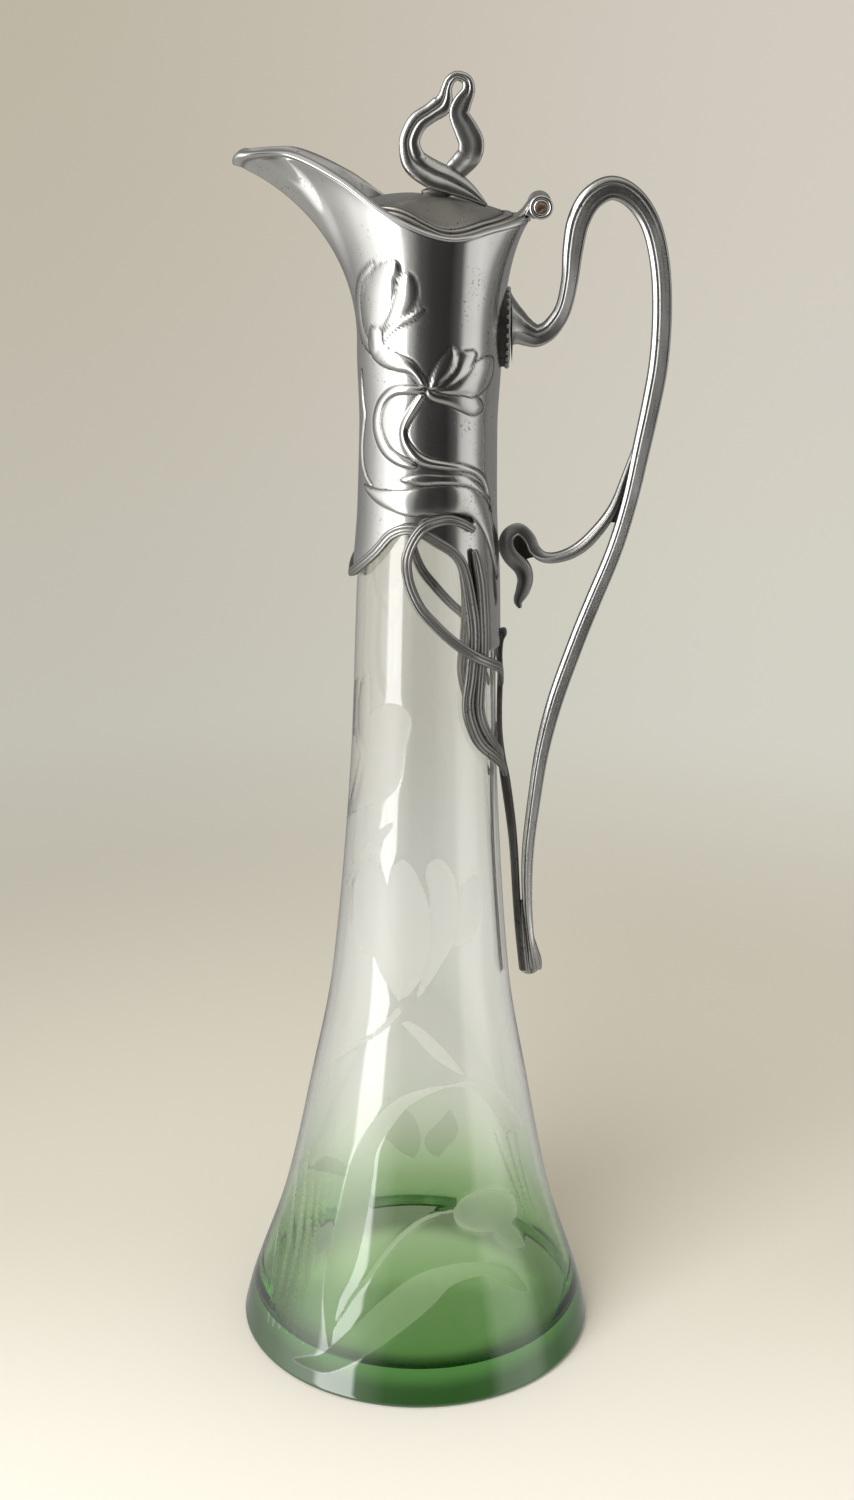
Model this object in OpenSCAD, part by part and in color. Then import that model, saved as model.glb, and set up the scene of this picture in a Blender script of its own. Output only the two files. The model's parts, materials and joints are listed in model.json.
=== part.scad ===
// Lidded glass ewer: a flared cut-glass body, a bedded metal collar drawn out into a spout,
// a hinged lid with an openwork finial, a whiplash handle and stems that hold the neck.
// Millimetres, +Z up. The origin is the centre of the foot, the spout points to -X,
// the handle to +X, and the near side of the pair names is -Y.

/* [Glass body] */
// Radius of the foot
base_r = 57.4; // [52:0.2:64]
// Radius a little above the heel
heel_r = 54.8; // [48:0.2:60]
// Radius at the top of the skirt
skirt_r = 43.7; // [38:0.1:48]
// Radius at the hip
hip_r = 34.5; // [30:0.1:38]
// Radius at the waist
waist_r = 28.2; // [25:0.1:32]
// Radius at the shoulder of the neck
shoulder_r = 22.7; // [21.5:0.1:25]
// Radius of the neck where the collar ends
neck_r = 20.7; // [19.5:0.1:22.5]
// Radius of the ground seat inside the collar
seat_r = 19.3; // [18:0.1:21]
// Radius of the glass lip inside the collar
mouth_r = 18.4; // [17:0.1:20]
// Height from the foot to the heel radius
heel_h = 12; // [9:0.5:16]
// Height from the heel to the top of the skirt
skirt_h = 34; // [28:0.5:42]
// Height from the skirt to the hip
hip_h = 44; // [36:0.5:52]
// Height from the hip to the waist
waist_h = 35; // [28:0.5:45]
// Height from the waist to the shoulder
shoulder_h = 68; // [60:0.5:80]
// Height from the shoulder to the collar's front tip
neck_h = 62; // [56:0.5:72]
// Height from the collar's front tip to the ground seat
seat_h = 22; // [19:0.5:26]
// Length of glass hidden in the collar
mouth_h = 75; // [70:0.5:82]
// Thickness of the glass wall
wall_t = 2.6; // [2:0.1:3.4]
// Thickness of the glass floor
floor_t = 10; // [6:0.5:14]
// Radius inside where the wall meets the floor
floor_round = 7; // [4:0.5:10]
// Rounding of the foot's outer edge
foot_round = 1.6; // [0.8:0.1:3]

/* [Collar and spout] */
// Thickness of the collar's metal
metal_t = 0.9; // [0.7:0.05:1.2]
// Thickness of the spout's lip and rim
lip_t = 1.8; // [1.4:0.1:2.2]
// Gap between glass and collar, filled with plaster higher up
seat_gap = 0.55; // [0.45:0.05:0.8]
// Gap between glass and collar at the throat
throat_gap = 1.65; // [1.2:0.05:2.2]
// Height from the collar's front tip to its slimmest place
grip_h = 45; // [40:0.5:50]
// Height from the slimmest place to the throat, where the flare starts
throat_h = 25; // [22:0.5:30]
// Height of the rim's lowest place above the throat
side_rise = 31.8; // [28:0.2:36]
// Extra height of the spout above the rim's lowest place
spout_lift = 18; // [14:0.5:22]
// Extra height of the rim at the hinge
back_lift = 3.6; // [2.6:0.2:5]
// How far the spout reaches beyond the throat
spout_reach = 35; // [28:0.5:42]
// How far the rim reaches back to the hinge
back_reach = 7; // [6:0.2:9]
// Film of solder between pieces that are fixed together
film = 0.2; // [0.12:0.01:0.25]
// Gap on each side of the plaster bedding
bed_gap = 0.2; // [0.16:0.01:0.24]

/* [Hinge] */
// Radius of the hinge pin
pin_r = 1.5; // [1.2:0.05:1.7]
// Running clearance round the pin in the lid's knuckle
pin_play = 0.05; // [0.03:0.01:0.08]
// Fitting clearance round the pin in the collar's knuckles
pin_fit = 0.02; // [0.01:0.01:0.04]
// Outer radius of the knuckles
knuckle_r = 3; // [2.6:0.1:3.4]
// Length of the whole hinge
hinge_w = 14; // [12:0.5:16]
// Length of the lid's own knuckle
lid_knuckle_w = 5.4; // [4.4:0.2:6.4]
// Side gap between neighbouring knuckles
knuckle_gap = 0.25; // [0.15:0.05:0.4]
// How far each pin head stands out
pin_head = 0.4; // [0.2:0.1:0.8]

/* [Lid] */
// Gap between the lid's edge and the collar
lid_gap = 0.4; // [0.35:0.05:0.7]
// Thickness of the lid
lid_t = 1.2; // [0.9:0.1:1.6]
// Height of each moulding step on the lid's border
step_h = 1.1; // [0.8:0.1:1.4]
// Width of each moulding step on the lid's border
step_w = 1.2; // [0.9:0.1:1.6]
// Height of the dome's crest above the rim's lowest place
dome_h = 10.2; // [8.5:0.1:12]
// How far the lid's point lies in front of the body's axis
lid_point = 26; // [24:0.5:28]
// Thickness of the strap that carries the lid
strap_t = 1.3; // [1:0.1:1.8]

/* [Finial] */
// Height of the finial above the lid's crest
finial_h = 33.3; // [31:0.1:36]
// Widest half width of the finial's stems
finial_w = 3.4; // [2.9:0.1:3.6]
// Half thickness of the finial's stems, front to back
finial_t = 1.7; // [1.3:0.1:2.2]

/* [Handle] */
// How far the handle bar stands off the throat
handle_reach = 45.8; // [43:0.2:49]
// Widest half width of the handle bar
bar_w = 3.4; // [2.8:0.1:3.8]
// Half thickness of the handle bar, front to back
bar_t = 2.7; // [2.2:0.1:3.2]
// Height of the oval solder plate
plate_h = 22.5; // [19:0.5:24]
// Width of the oval solder plate
plate_w = 12; // [10:0.5:15]
// How far the plate's face stands off the throat
plate_stand = 2.2; // [1.8:0.1:2.8]
// Widest half width of the scroll branch
scroll_w = 2.4; // [2:0.1:2.6]
// Half thickness of the scroll branch, front to back
scroll_t = 1.9; // [1.5:0.1:2.4]
// Half width of the strut below the neck, seen from the side
strut_w = 1.15; // [1:0.05:1.25]
// Half thickness of the strut below the neck, front to back
strut_t = 1.1; // [0.8:0.1:1.3]

/* [Stems] */
// Half width of the stems along the surface
stem_w = 1.3; // [1.1:0.05:1.45]
// Half thickness of the stems, off the surface
stem_t = 1; // [0.8:0.05:1.1]

/* [Hidden] */

silver = [0.72, 0.71, 0.69];
dark_silver = [0.6, 0.59, 0.57];

// Heights of the stations, from the foot up
skirt_z = heel_h + skirt_h;
hip_z = skirt_z + hip_h;
waist_z = hip_z + waist_h;
shoulder_z = waist_z + shoulder_h;
mount_z = shoulder_z + neck_h;
seat_z = mount_z + seat_h;
glass_z = mount_z + mouth_h;
grip_z = mount_z + grip_h;
throat_z = grip_z + throat_h;
rim_z = throat_z + side_rise;
crest_z = rim_z + dome_h;

// Radius of the glass at any height, as a smooth curve through its stations
glass_stations = [[foot_round, base_r], [heel_h, heel_r], [skirt_z, skirt_r], [hip_z, hip_r],
    [waist_z, waist_r], [shoulder_z, shoulder_r], [mount_z, neck_r], [seat_z, seat_r],
    [glass_z, mouth_r]];

function slope(s, i) =
    let (a = s[max(0, i - 1)], b = s[min(len(s) - 1, i + 1)]) (b[1] - a[1]) / (b[0] - a[0]);
function segment(s, z, i = 0) = i >= len(s) - 2 || z < s[i + 1][0] ? i : segment(s, z, i + 1);
function curve_at(s, z) =
    let (i = segment(s, z), a = s[i], b = s[i + 1], h = b[0] - a[0], t = (z - a[0]) / h)
    (1 - 3 * t * t + 2 * t * t * t) * a[1] + (3 - 2 * t) * t * t * b[1]
    + h * t * (1 - t) * ((1 - t) * slope(s, i) - t * slope(s, i + 1));
function glass_r(z) =
    curve_at(glass_stations, max(foot_round, min(glass_z, z)));

// Outer radius of the collar's sheet, carried on below it where only stems follow the neck
function ease(t) = let (c = max(0, min(1, t))) c * c * (3 - 2 * c);
function skin_r(z) = glass_r(z) + metal_t + seat_gap
    + (throat_gap - seat_gap) * ease((z - grip_z) / throat_h);
throat_r = skin_r(throat_z);

// Smooth curve through knots of any length, with n pieces between two knots
function knot(k, i) = k[max(0, min(len(k) - 1, i))];
function blend(a, b, c, d, t) = 0.5 * (2 * b + (c - a) * t + (2 * a - 5 * b + 4 * c - d) * t * t
    + (3 * b - a - 3 * c + d) * t * t * t);
function smooth(k, n) = [for (i = [0:len(k) - 2]) for (j = [0:n - 1])
    blend(knot(k, i - 1), k[i], k[i + 1], knot(k, i + 2), j / n), k[len(k) - 1]];

// Curve over half the outline, u = 0 at the back and 1 at the front, mirrored at both ends
function turned(k, full) = [full - k[0], k[1], k[2], -k[3], k[4]];
function half_knot(k, i) = i < 0 ? turned(k[-i], 0)
    : i >= len(k) ? turned(k[2 * len(k) - 2 - i], 360) : k[i];
function half_curve(k, u) =
    let (n = len(k) - 1, i = min(n - 1, floor(u * n)), t = u * n - i)
    blend(half_knot(k, i - 1), half_knot(k, i), half_knot(k, i + 1), half_knot(k, i + 2), t);

function unit(v) = v / norm(v);
function near(a, z, r) = [r * cos(a), -r * sin(a), z];
function flip(p) = [p[0], -p[1], p[2]];

// Rim knots: angle on the throat, share of the reach to the spout, share of the reach back,
// side offset and height above the throat
rim_knots = [
    [0, 0, 1, 0, side_rise + back_lift],
    [18, 0, 1, 0.3, side_rise + back_lift],
    [45, 0, 0.53, -0.4, side_rise + 0.55 * back_lift],
    [78, 0, 0.08, 0.9, side_rise],
    [112, 0.1, 0, 0.5, side_rise + 0.32 * spout_lift],
    [138, 0.3, 0, 1.2, side_rise + 0.83 * spout_lift],
    [158, 0.61, 0, 2.2, side_rise + 1.17 * spout_lift],
    [171, 0.93, 0, 3.6, side_rise + 1.13 * spout_lift],
    [180, 1, 0, 0, side_rise + 0.97 * spout_lift]];

// The curves of the edge, the stems, the strut and the handle are drawn for these sizes,
// with heights from the collar's front tip, and follow the real ones
drawn_neck = 62;
drawn_rise = 70;
drawn_reach = 45.8;
function curve_z(dz) =
    mount_z + dz * (dz > 0 ? (throat_z - mount_z) / drawn_rise : neck_h / drawn_neck);
function curve_x(dx) = dx * handle_reach / drawn_reach;

// The collar's lower edge: angle from the handle, drawn height
edge_knots = [[0, 0, 0, 0, -20], [30, 0, 0, 0, -19.5], [52, 0, 0, 0, -17], [55.5, 0, 0, 0, -4],
    [64, 0, 0, 0, 10], [84, 0, 0, 0, 16.5], [101, 0, 0, 0, 19.6], [117, 0, 0, 0, 17.8],
    [133, 0, 0, 0, 11], [155, 0, 0, 0, 4.4], [180, 0, 0, 0, 1]];

// Flare from throat to rim: shares of the way out and up, t = 0 at the throat and 1 at the rim
flare_out = 0.49;
flare_up = [0.5, 0.865];
function share_out(t) = 3 * (1 - t) * t * t * flare_out + t * t * t;
function share_up(t) = 3 * (1 - t) * (1 - t) * t * flare_up[0] + 3 * (1 - t) * t * t * flare_up[1]
    + t * t * t;
function flare(u, t) =
    let (k = half_curve(rim_knots, u), foot = near(k[0], throat_z, throat_r))
    foot + share_out(t) * [back_reach * k[2] - spout_reach * k[1], -k[3], 0]
    + [0, 0, share_up(t) * k[4]];
tiny = 0.004;
function along(u, t) = unit(flare(u, t + tiny) - flare(u, t - tiny));
function inward(u, t) = unit(cross(flare(u + tiny, t) - flare(u - tiny, t), along(u, t)));
function flare_t(t) = metal_t + (lip_t - metal_t) * t;
function flare_in(u, t, gap = 0) = flare(u, t) + (flare_t(t) + gap) * inward(u, t);

// Hinge: the barrel stands clear of the rim's back edge
rim_back = flare(0, 1);
rim_back_in = flare_in(0, 1);
bead = 0.35 * lip_t;
hinge_lap = 0.2;
hinge_rise = 0.9;
hinge_x = rim_back[0] + knuckle_r - hinge_lap;
hinge_z = rim_back[2] + knuckle_r + hinge_rise;

// Closed skin from rings of points, each ring in the same sense, with a pole at each end
function ring_faces(n, a, b) = [for (i = [0:n - 1]) let (j = (i + 1) % n)
    each [[a + i, a + j, b + j], [a + i, b + j, b + i]]];
function pole_faces(n, a, pole, up) = [for (i = [0:n - 1]) let (j = (i + 1) % n)
    up ? [a + i, a + j, pole] : [a + j, a + i, pole]];
module skin(rings, first, last) {
    n = len(rings[0]);
    m = len(rings);
    points = [for (r = rings) each r, first, last];
    faces = [for (i = [0:m - 2]) each ring_faces(n, n * i, n * (i + 1)),
        each pole_faces(n, 0, n * m, false), each pole_faces(n, n * (m - 1), n * m + 1, true)];
    polyhedron(points, faces, convexity = 8);
}
// Closed skin from rings that turn back to the first one, with no poles
module closed_skin(rings) {
    n = len(rings[0]);
    m = len(rings);
    polyhedron([for (r = rings) each r],
        [for (i = [0:m - 1]) each ring_faces(n, n * i, n * ((i + 1) % m))], convexity = 8);
}

// Bar swept along a path of [point, reference normal, half width, half thickness]
function tangent(p, i) =
    unit(p[min(len(p) - 1, i + 1)][0] - p[max(0, i - 1)][0]);
function ring(p, i, sides) =
    let (t = tangent(p, i), b = unit(cross(t, p[i][1])), n = cross(b, t))
    [for (k = [0:sides - 1]) let (a = 360 * (k + 0.5) / sides)
        p[i][0] + p[i][2] * cos(a) * b + p[i][3] * sin(a) * n];
module sweep(p, sides, start_cap, end_cap) {
    last = len(p) - 1;
    skin([for (i = [0:last]) ring(p, i, sides)], p[0][0] - start_cap * p[0][2] * tangent(p, 0),
        p[last][0] + end_cap * p[last][2] * tangent(p, last));
}

// Path in the plane of the handle from knots of [x, z, half width, half thickness]
front = [0, -1, 0];
function plane_path(k, n) = [for (q = smooth(k, n)) [[q[0], 0, q[1]], front, q[2], q[3]]];
// Path on the neck from knots of [angle, height, lift of its middle off the sheet, share of width]
function neck_path(k, n) = [for (q = smooth(k, n))
    [near(q[0], q[1], skin_r(q[1]) + q[2]), [cos(q[0]), -sin(q[0]), 0],
        stem_w * q[3], stem_t * min(1, q[3])]];

// Place of a handle knot: outwards from the throat above the collar's tip, from the glass below
function handle_x(dx, dz) = curve_x(dx) + (dz > 0 ? throat_r : glass_r(curve_z(dz)));
function handle_knots(k, w, t) =
    [for (q = k) [handle_x(q[0], q[1]), curve_z(q[1]), w * q[2], t * q[3]]];

glass_steps = 64;
function glass_height(i) = foot_round + (glass_z - foot_round) * i / glass_steps;

module glass_body() {
    floor_top = floor_t + floor_round;
    floor_r = glass_r(floor_top) - wall_t - floor_round;
    outer = [for (i = [0:glass_steps]) [glass_r(glass_height(i)), glass_height(i)]];
    inner = [for (i = [glass_steps:-1:0]) let (z = glass_height(i))
        if (z > floor_top) [glass_r(z) - wall_t, z]];
    foot = [for (a = [-90:30:-30])
        [base_r + foot_round * (cos(a) - 1), foot_round * (1 + sin(a))]];
    floor_arc = [for (a = [0:-15:-90])
        [floor_r + floor_round * cos(a), floor_top + floor_round * sin(a)]];
    color([0.66, 0.82, 0.68, 0.5])
        rotate_extrude($fn = 96)
            polygon(concat([[0, 0]], foot, outer, inner, floor_arc, [[0, floor_t]]));
}

bed_start = seat_z + 2;
bed_end = glass_z - 2;

module plaster_bedding() {
    steps = 24;
    heights = [for (i = [0:steps]) bed_start + (bed_end - bed_start) * i / steps];
    inner = [for (z = heights) [glass_r(z) + bed_gap, z]];
    outer = [for (i = [steps:-1:0]) let (z = heights[i])
        [skin_r(min(z, throat_z)) - metal_t - bed_gap, z]];
    color([0.9, 0.88, 0.82])
        rotate_extrude($fn = 96) polygon(concat(inner, outer));
}

collar_columns = 26;
sheet_rows = 10;
flare_rows = 8;

module collar() {
    // A sheet point lies between the lower edge (s = 0) and the throat (s = 1)
    function sheet(u, s, depth) =
        let (e = half_curve(edge_knots, u), k = half_curve(rim_knots, u),
            a = e[0] + s * (k[0] - e[0]), low = curve_z(e[4]), z = low + s * (throat_z - low))
        near(a, z, skin_r(z) - depth);
    function around(f) = concat(
        [for (i = [0:collar_columns]) f(i / collar_columns)],
        [for (i = [collar_columns - 1:-1:1]) flip(f(i / collar_columns))]);
    outer = [for (j = [0:sheet_rows - 1]) around(function(u) sheet(u, j / sheet_rows, 0))];
    outer_flare = [for (j = [0:flare_rows]) around(function(u) flare(u, j / flare_rows))];
    lip = around(function(u)
        flare(u, 1) + lip_t / 2 * inward(u, 1) + bead * along(u, 1));
    inner_flare = [for (j = [flare_rows:-1:0]) around(function(u) flare_in(u, j / flare_rows))];
    inner = [for (j = [sheet_rows - 1:-1:0])
        around(function(u) sheet(u, j / sheet_rows, metal_t))];
    color(silver) closed_skin(concat(outer, outer_flare, [lip], inner_flare, inner));
}

// Stems start on the sheet, run along its edge and leave it to close on the strut
on_sheet = stem_t + film;
below = on_sheet - metal_t;
over = on_sheet + 2 * stem_t + film;
// The pair of edge stems thins out to meet under the spout
tip_angle = 177.5;
tip_w = 0.55;
// The stem leaves the collar's edge at this knot
edge_leaves = 4;
// Angle at which a stem's thin end lies beside the strut
end_w = 0.7;
function meet(dz) = asin((strut_t + film + end_w * stem_w) / (skin_r(curve_z(dz)) + on_sheet));
// Knots of [angle, drawn height, lift of the middle off the sheet, share of width]
function stem_knots(k) = [for (q = k) [q[0], curve_z(q[1]), q[2], q[3]]];
edge_stem_knots = stem_knots(concat(
    [[tip_angle, edge_knots[len(edge_knots) - 1][4], tip_w * stem_t + film, tip_w]],
    [for (i = [len(edge_knots) - 2:-1:edge_leaves]) [edge_knots[i][0], edge_knots[i][4], on_sheet, 1]],
    [[55.5, -4, on_sheet, 1.3], [53, -14, on_sheet, 1.35], [53.5, -25, below, 1.3],
        [56.5, -34, below, 1.25], [52.5, -41, below, 1.25], [43.5, -47.5, below, 1.15],
        [26, -54, on_sheet, 0.95], [meet(-62), -62, on_sheet, end_w]]));
back_stem_knots = stem_knots([[50, 12, on_sheet, 0.7], [47, 8, on_sheet, 1], [44, 2, on_sheet, 1.25],
    [42, -7, on_sheet, 1.3], [41.5, -17, on_sheet, 1.3], [42.5, -26, below, 1.25],
    [45, -36, below, 1.2], [39.5, -43, below, 1.1], [28, -49, below, 0.9],
    [13, -53.5, below, 0.75], [meet(-57), -57, below, end_w]]);
loop_knots = stem_knots([[51, 18.5, on_sheet, 0.7], [64, 21.5, on_sheet, 0.9],
    [78, 22.5, on_sheet, 1], [93, 20.5, over, 1], [102.5, 13, over, 1], [103, 5, on_sheet, 1],
    [95, -3, below, 1], [82, -9, below, 1], [69, -14, on_sheet, 1], [55, -18.5, over, 1],
    [38, -22.5, over, 1], [20, -26.5, on_sheet, 0.9], [meet(-33), -33, below, end_w]]);

module edge_stem() color(dark_silver) sweep(neck_path(edge_stem_knots, 4), 8, 0.4, 0.5);
module back_stem() color(dark_silver) sweep(neck_path(back_stem_knots, 3), 8, 0.5, 0.5);
module loop_tendril() color(silver) sweep(neck_path(loop_knots, 4), 8, 0.5, 0.5);
module far_side() mirror([0, 1, 0]) children();

module edge_stem_near() edge_stem();
module edge_stem_far() far_side() edge_stem();
module back_stem_near() back_stem();
module back_stem_far() far_side() back_stem();
module loop_tendril_near() loop_tendril();
module loop_tendril_far() far_side() loop_tendril();

// Knots of [outwards, drawn height, share of width, share of thickness]
strut_knots = [[1.5, -31, 0.8, 0.9], [1.1, -42, 0.75, 0.9], [1.2, -50, 0.8, 0.9],
    [1.7, -58, 1.1, 1], [2.6, -65, 1.3, 1.1], [3.8, -78, 1.25, 1.2], [4.3, -89, 1.15, 1.4],
    [4.3, -105, 1.1, 1.6], [4.5, -117, 1.2, 1.9], [4.8, -129.5, 1.25, 1.9]];
module strut() {
    color(dark_silver) sweep(plane_path(handle_knots(strut_knots, strut_w, strut_t), 4), 8, 0.4, 0.4);
}

plate_rise = 74.5;
plate_z = curve_z(plate_rise);
plate_x = throat_r + plate_stand;

module handle_plate() {
    sides = 28;
    steps = 8;
    oval = [for (i = [0:sides - 1]) let (a = 360 * i / sides)
        [plate_w / 2 * cos(a), plate_h / 2 * sin(a)]];
    // The collar's back profile, from below the plate to the rim
    back = concat([[skin_r(throat_z - plate_h) + film, throat_z - plate_h]],
        [for (i = [0:steps]) let (p = flare(0, i / steps)) [p[0] + film, p[2]]]);
    color(silver) difference() {
        translate([throat_r / 2, 0, plate_z])
            rotate([90, 0, 90]) linear_extrude(plate_x - throat_r / 2) polygon(oval);
        rotate_extrude($fn = 96)
            polygon(concat([[0, back[0][1]]], back, [[0, back[steps + 1][1]]]));
    }
}

// The bar's root spreads over the plate
root_x = (plate_stand + film) * drawn_reach / handle_reach;
root_share = 0.49 * plate_h / bar_w;
bar_knots = [[root_x, plate_rise, root_share, 2.1], [root_x + 0.9, plate_rise, 0.77 * root_share, 1.9],
    [root_x + 1.9, 74.4, 0.6 * root_share, 1.7], [root_x + 3.4, 73.9, 0.46 * root_share, 1.4],
    [7.8, 73, 1.2, 1.2], [10.2, 72.5, 1, 1.1],
    [13.7, 74.4, 0.82, 1], [17.2, 80, 0.7, 1], [18.9, 88.4, 0.73, 1], [19.5, 97, 0.87, 1],
    [20.8, 105, 0.96, 1], [24.2, 111.3, 1, 1], [30, 114.3, 1, 1], [36.4, 111.4, 0.93, 1],
    [41.6, 104, 0.86, 1], [44.6, 93, 0.84, 1], [45.8, 80, 0.84, 1], [45.6, 66, 0.83, 1],
    [44.1, 54, 0.81, 1], [41.7, 40, 0.77, 1], [38.9, 24.2, 0.7, 0.95], [35, 9, 0.69, 0.9],
    [29.3, -7, 0.71, 0.85], [24.4, -20, 0.72, 0.8], [18.2, -38.6, 0.71, 0.8],
    [14.1, -55, 0.65, 0.8], [11.1, -72, 0.59, 0.8], [8.6, -89, 0.55, 0.85], [7.6, -105, 0.47, 0.9],
    [7.7, -117, 0.39, 1], [8.1, -121.5, 0.5, 1], [8.6, -126, 0.65, 1], [8.7, -129, 0.56, 0.9]];
module handle_bar() {
    color(silver) sweep(plane_path(handle_knots(bar_knots, bar_w, bar_t), 3), 10, 0, 0.3);
}

scroll_knots = [[36.6, 30, 0.3, 0.6], [35, 24, 0.5, 0.8], [33, 19.6, 0.66, 1], [30.2, 15.4, 0.75, 1],
    [26.4, 11, 0.8, 1], [22.3, 8, 0.76, 1], [17.8, 6.4, 0.68, 1], [14, 6.5, 0.68, 1],
    [11.2, 8.7, 0.72, 1], [9.4, 12.4, 0.72, 0.95], [6.4, 14.9, 0.7, 0.9], [3.7, 13.4, 0.78, 0.85],
    [3, 10, 0.92, 0.85], [4.6, 6.6, 1.08, 0.9], [7.6, 3.2, 1.1, 0.95], [9, -0.4, 1, 0.9],
    [8.2, -4, 0.88, 0.8], [6.9, -7.2, 0.6, 0.7], [7.5, -9.5, 0.2, 0.4]];
module handle_scroll() {
    color(silver) sweep(plane_path(handle_knots(scroll_knots, scroll_w, scroll_t), 3), 8, 0.5, 0.5);
}

knuckle_w = (hinge_w - lid_knuckle_w) / 2 - knuckle_gap;
module barrel(start, width, play) {
    difference() {
        union() {
            translate([hinge_x, start, hinge_z]) rotate([-90, 0, 0])
                cylinder(r = knuckle_r, h = width, $fn = 64);
            translate([0, start + width, 0]) rotate([90, 0, 0]) linear_extrude(width) children();
        }
        translate([hinge_x, start - 1, hinge_z]) rotate([-90, 0, 0])
            cylinder(r = pin_r + play, h = width + 2, $fn = 64);
    }
}

// The collar's knuckles stand on the rim's back edge by a lug
module collar_knuckle() {
    step = (bead + film) * along(0, 1);
    foot_out = rim_back + step;
    foot_in = rim_back_in + step;
    color(silver) barrel(lid_knuckle_w / 2 + knuckle_gap, knuckle_w, pin_fit)
        polygon([[foot_in[0], foot_in[2]], [foot_out[0], foot_out[2]],
            [hinge_x + 0.3 * knuckle_r, hinge_z - 0.95 * knuckle_r], [hinge_x, hinge_z],
            [hinge_x - 0.98 * knuckle_r, hinge_z + 0.15 * knuckle_r]]);
}
module hinge_knuckle_far() collar_knuckle();
module hinge_knuckle_near() mirror([0, 1, 0]) collar_knuckle();

module hinge_pin() {
    length = hinge_w + 2 * pin_head;
    color(dark_silver) translate([hinge_x, 0, hinge_z]) rotate([90, 0, 0]) rotate_extrude($fn = 64)
        polygon([[0, -length / 2], [pin_r - pin_head / 2, -length / 2],
            [pin_r, -length / 2 + pin_head / 2], [pin_r, length / 2 - pin_head / 2],
            [pin_r - pin_head / 2, length / 2], [0, length / 2]]);
}

// Lid edge: follows the inside of the rim a named gap away, then draws to a point in the spout
seat_t = 0.95;
lid_front = 4;
lid_middle = [-3, 0, crest_z];
lid_dip = 3.2;
function lid_seat(i) = flare_in(i / (len(rim_knots) - 1), seat_t, lid_gap);
lid_side = lid_seat(lid_front);
lid_knots = concat(
    [for (i = [0:lid_front]) let (p = lid_seat(i)) [0, p[0], 0, p[1], p[2]]],
    [[0, 0.25 * lid_side[0] - 0.75 * lid_point, 0, 0.6 * lid_side[1], lid_side[2] - 0.4 * lid_dip],
    [0, -lid_point, 0, 0, lid_side[2] - lid_dip]]);
function lid_edge(u) = let (k = half_curve(lid_knots, u)) [k[1], k[3], k[4]];
// The border's mouldings widen and flatten towards the hinge
function back_share(u) = u < 0.42 ? (1 + cos(180 * u / 0.42)) / 2 : 0;
function border(u, out, up) =
    let (e = lid_edge(u), d = [lid_middle[0] - e[0], -e[1], 0])
    e + unit(d) * out * (1 + 1.5 * back_share(u)) + [0, 0, up * (1 - 0.72 * back_share(u))];
function dome(u, w, drop) =
    let (b = border(u, 2.1 * step_w, 2.8 * step_h), p = b + w * (lid_middle - b))
    [p[0], p[1], b[2] + (crest_z - b[2]) * (1 - pow(1 - w, 1.7)) - drop];
lid_columns = 24;

module lid() {
    function around(f) = concat(
        [for (i = [0:lid_columns]) f(i / lid_columns)],
        [for (i = [lid_columns - 1:-1:1]) flip(f(i / lid_columns))]);
    steps = [for (q = [[0.85, 0], [0, 0], [0.05, 1.2], [0.3, 1.4], [1, 1.5], [1.05, 2.2],
        [1.3, 2.4], [2, 2.45]]) around(function(u) border(u, q[0] * step_w, q[1] * step_h))];
    domes = [0, 0.14, 0.3, 0.48, 0.68, 0.86];
    under = [for (i = [5:-1:0]) around(function(u) dome(u, domes[i], lid_t))];
    top = [for (w = domes) around(function(u) dome(u, w, 0))];
    color(silver) skin(concat(under, steps, top), lid_middle - [0, 0, lid_t], lid_middle);
}

// The strap lies on the lid's border and passes over the rim to its knuckle
module lid_knuckle() {
    start = dome(0, 0, 0);
    under = rim_back_in[2] + 0.8 * bead + lid_gap;
    toe = start[0] + 0.6;
    toe_z = max(start[2], border(0, 0, 1.4 * step_h)[2]) + 3 * film;
    heel = lid_edge(0)[0] - 1;
    color(silver) barrel(-lid_knuckle_w / 2, lid_knuckle_w, pin_play)
        polygon([[toe, toe_z], [heel, toe_z], [heel + 1.4, under], [hinge_x - 2, under],
            [hinge_x, hinge_z], [hinge_x - 0.5 * knuckle_r, hinge_z + 0.85 * knuckle_r],
            [heel + 0.5, under + strap_t], [toe, toe_z + 0.45 * strap_t]]);
}

// Finial: one stem that leaves the lid's crest, winds round a large and a small eye,
// and comes down again beside its own start. Knots of [x, drawn height above the crest, share of width]
drawn_finial = 33.3;
finial_loop = [[-0.2, 4.4, 0.91], [-4.8, 8.2, 0.97], [-6.4, 12.9, 0.88], [-6, 16.1, 0.85],
    [-4, 19.6, 0.81], [-0.6, 22, 0.71], [2.3, 24, 0.56], [3.3, 26.1, 0.44], [3.7, 28.5, 0.41],
    [4.6, 30.8, 0.38], [6.6, 32.1, 0.35], [9.4, 31, 0.41], [9.9, 28.2, 0.47], [7.9, 24.5, 0.59],
    [7.3, 21.8, 0.65], [9.7, 17.8, 0.85], [11.3, 14.2, 0.96], [10.9, 10.9, 0.94], [9, 8.5, 0.82],
    [6.5, 6.4, 0.6]];
// The tail lies on the lid's back slope: [share of the way from the dome's foot, share of width]
finial_tail = [[0.16, 0.1], [0.36, 0.4], [0.58, 0.74]];
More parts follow.
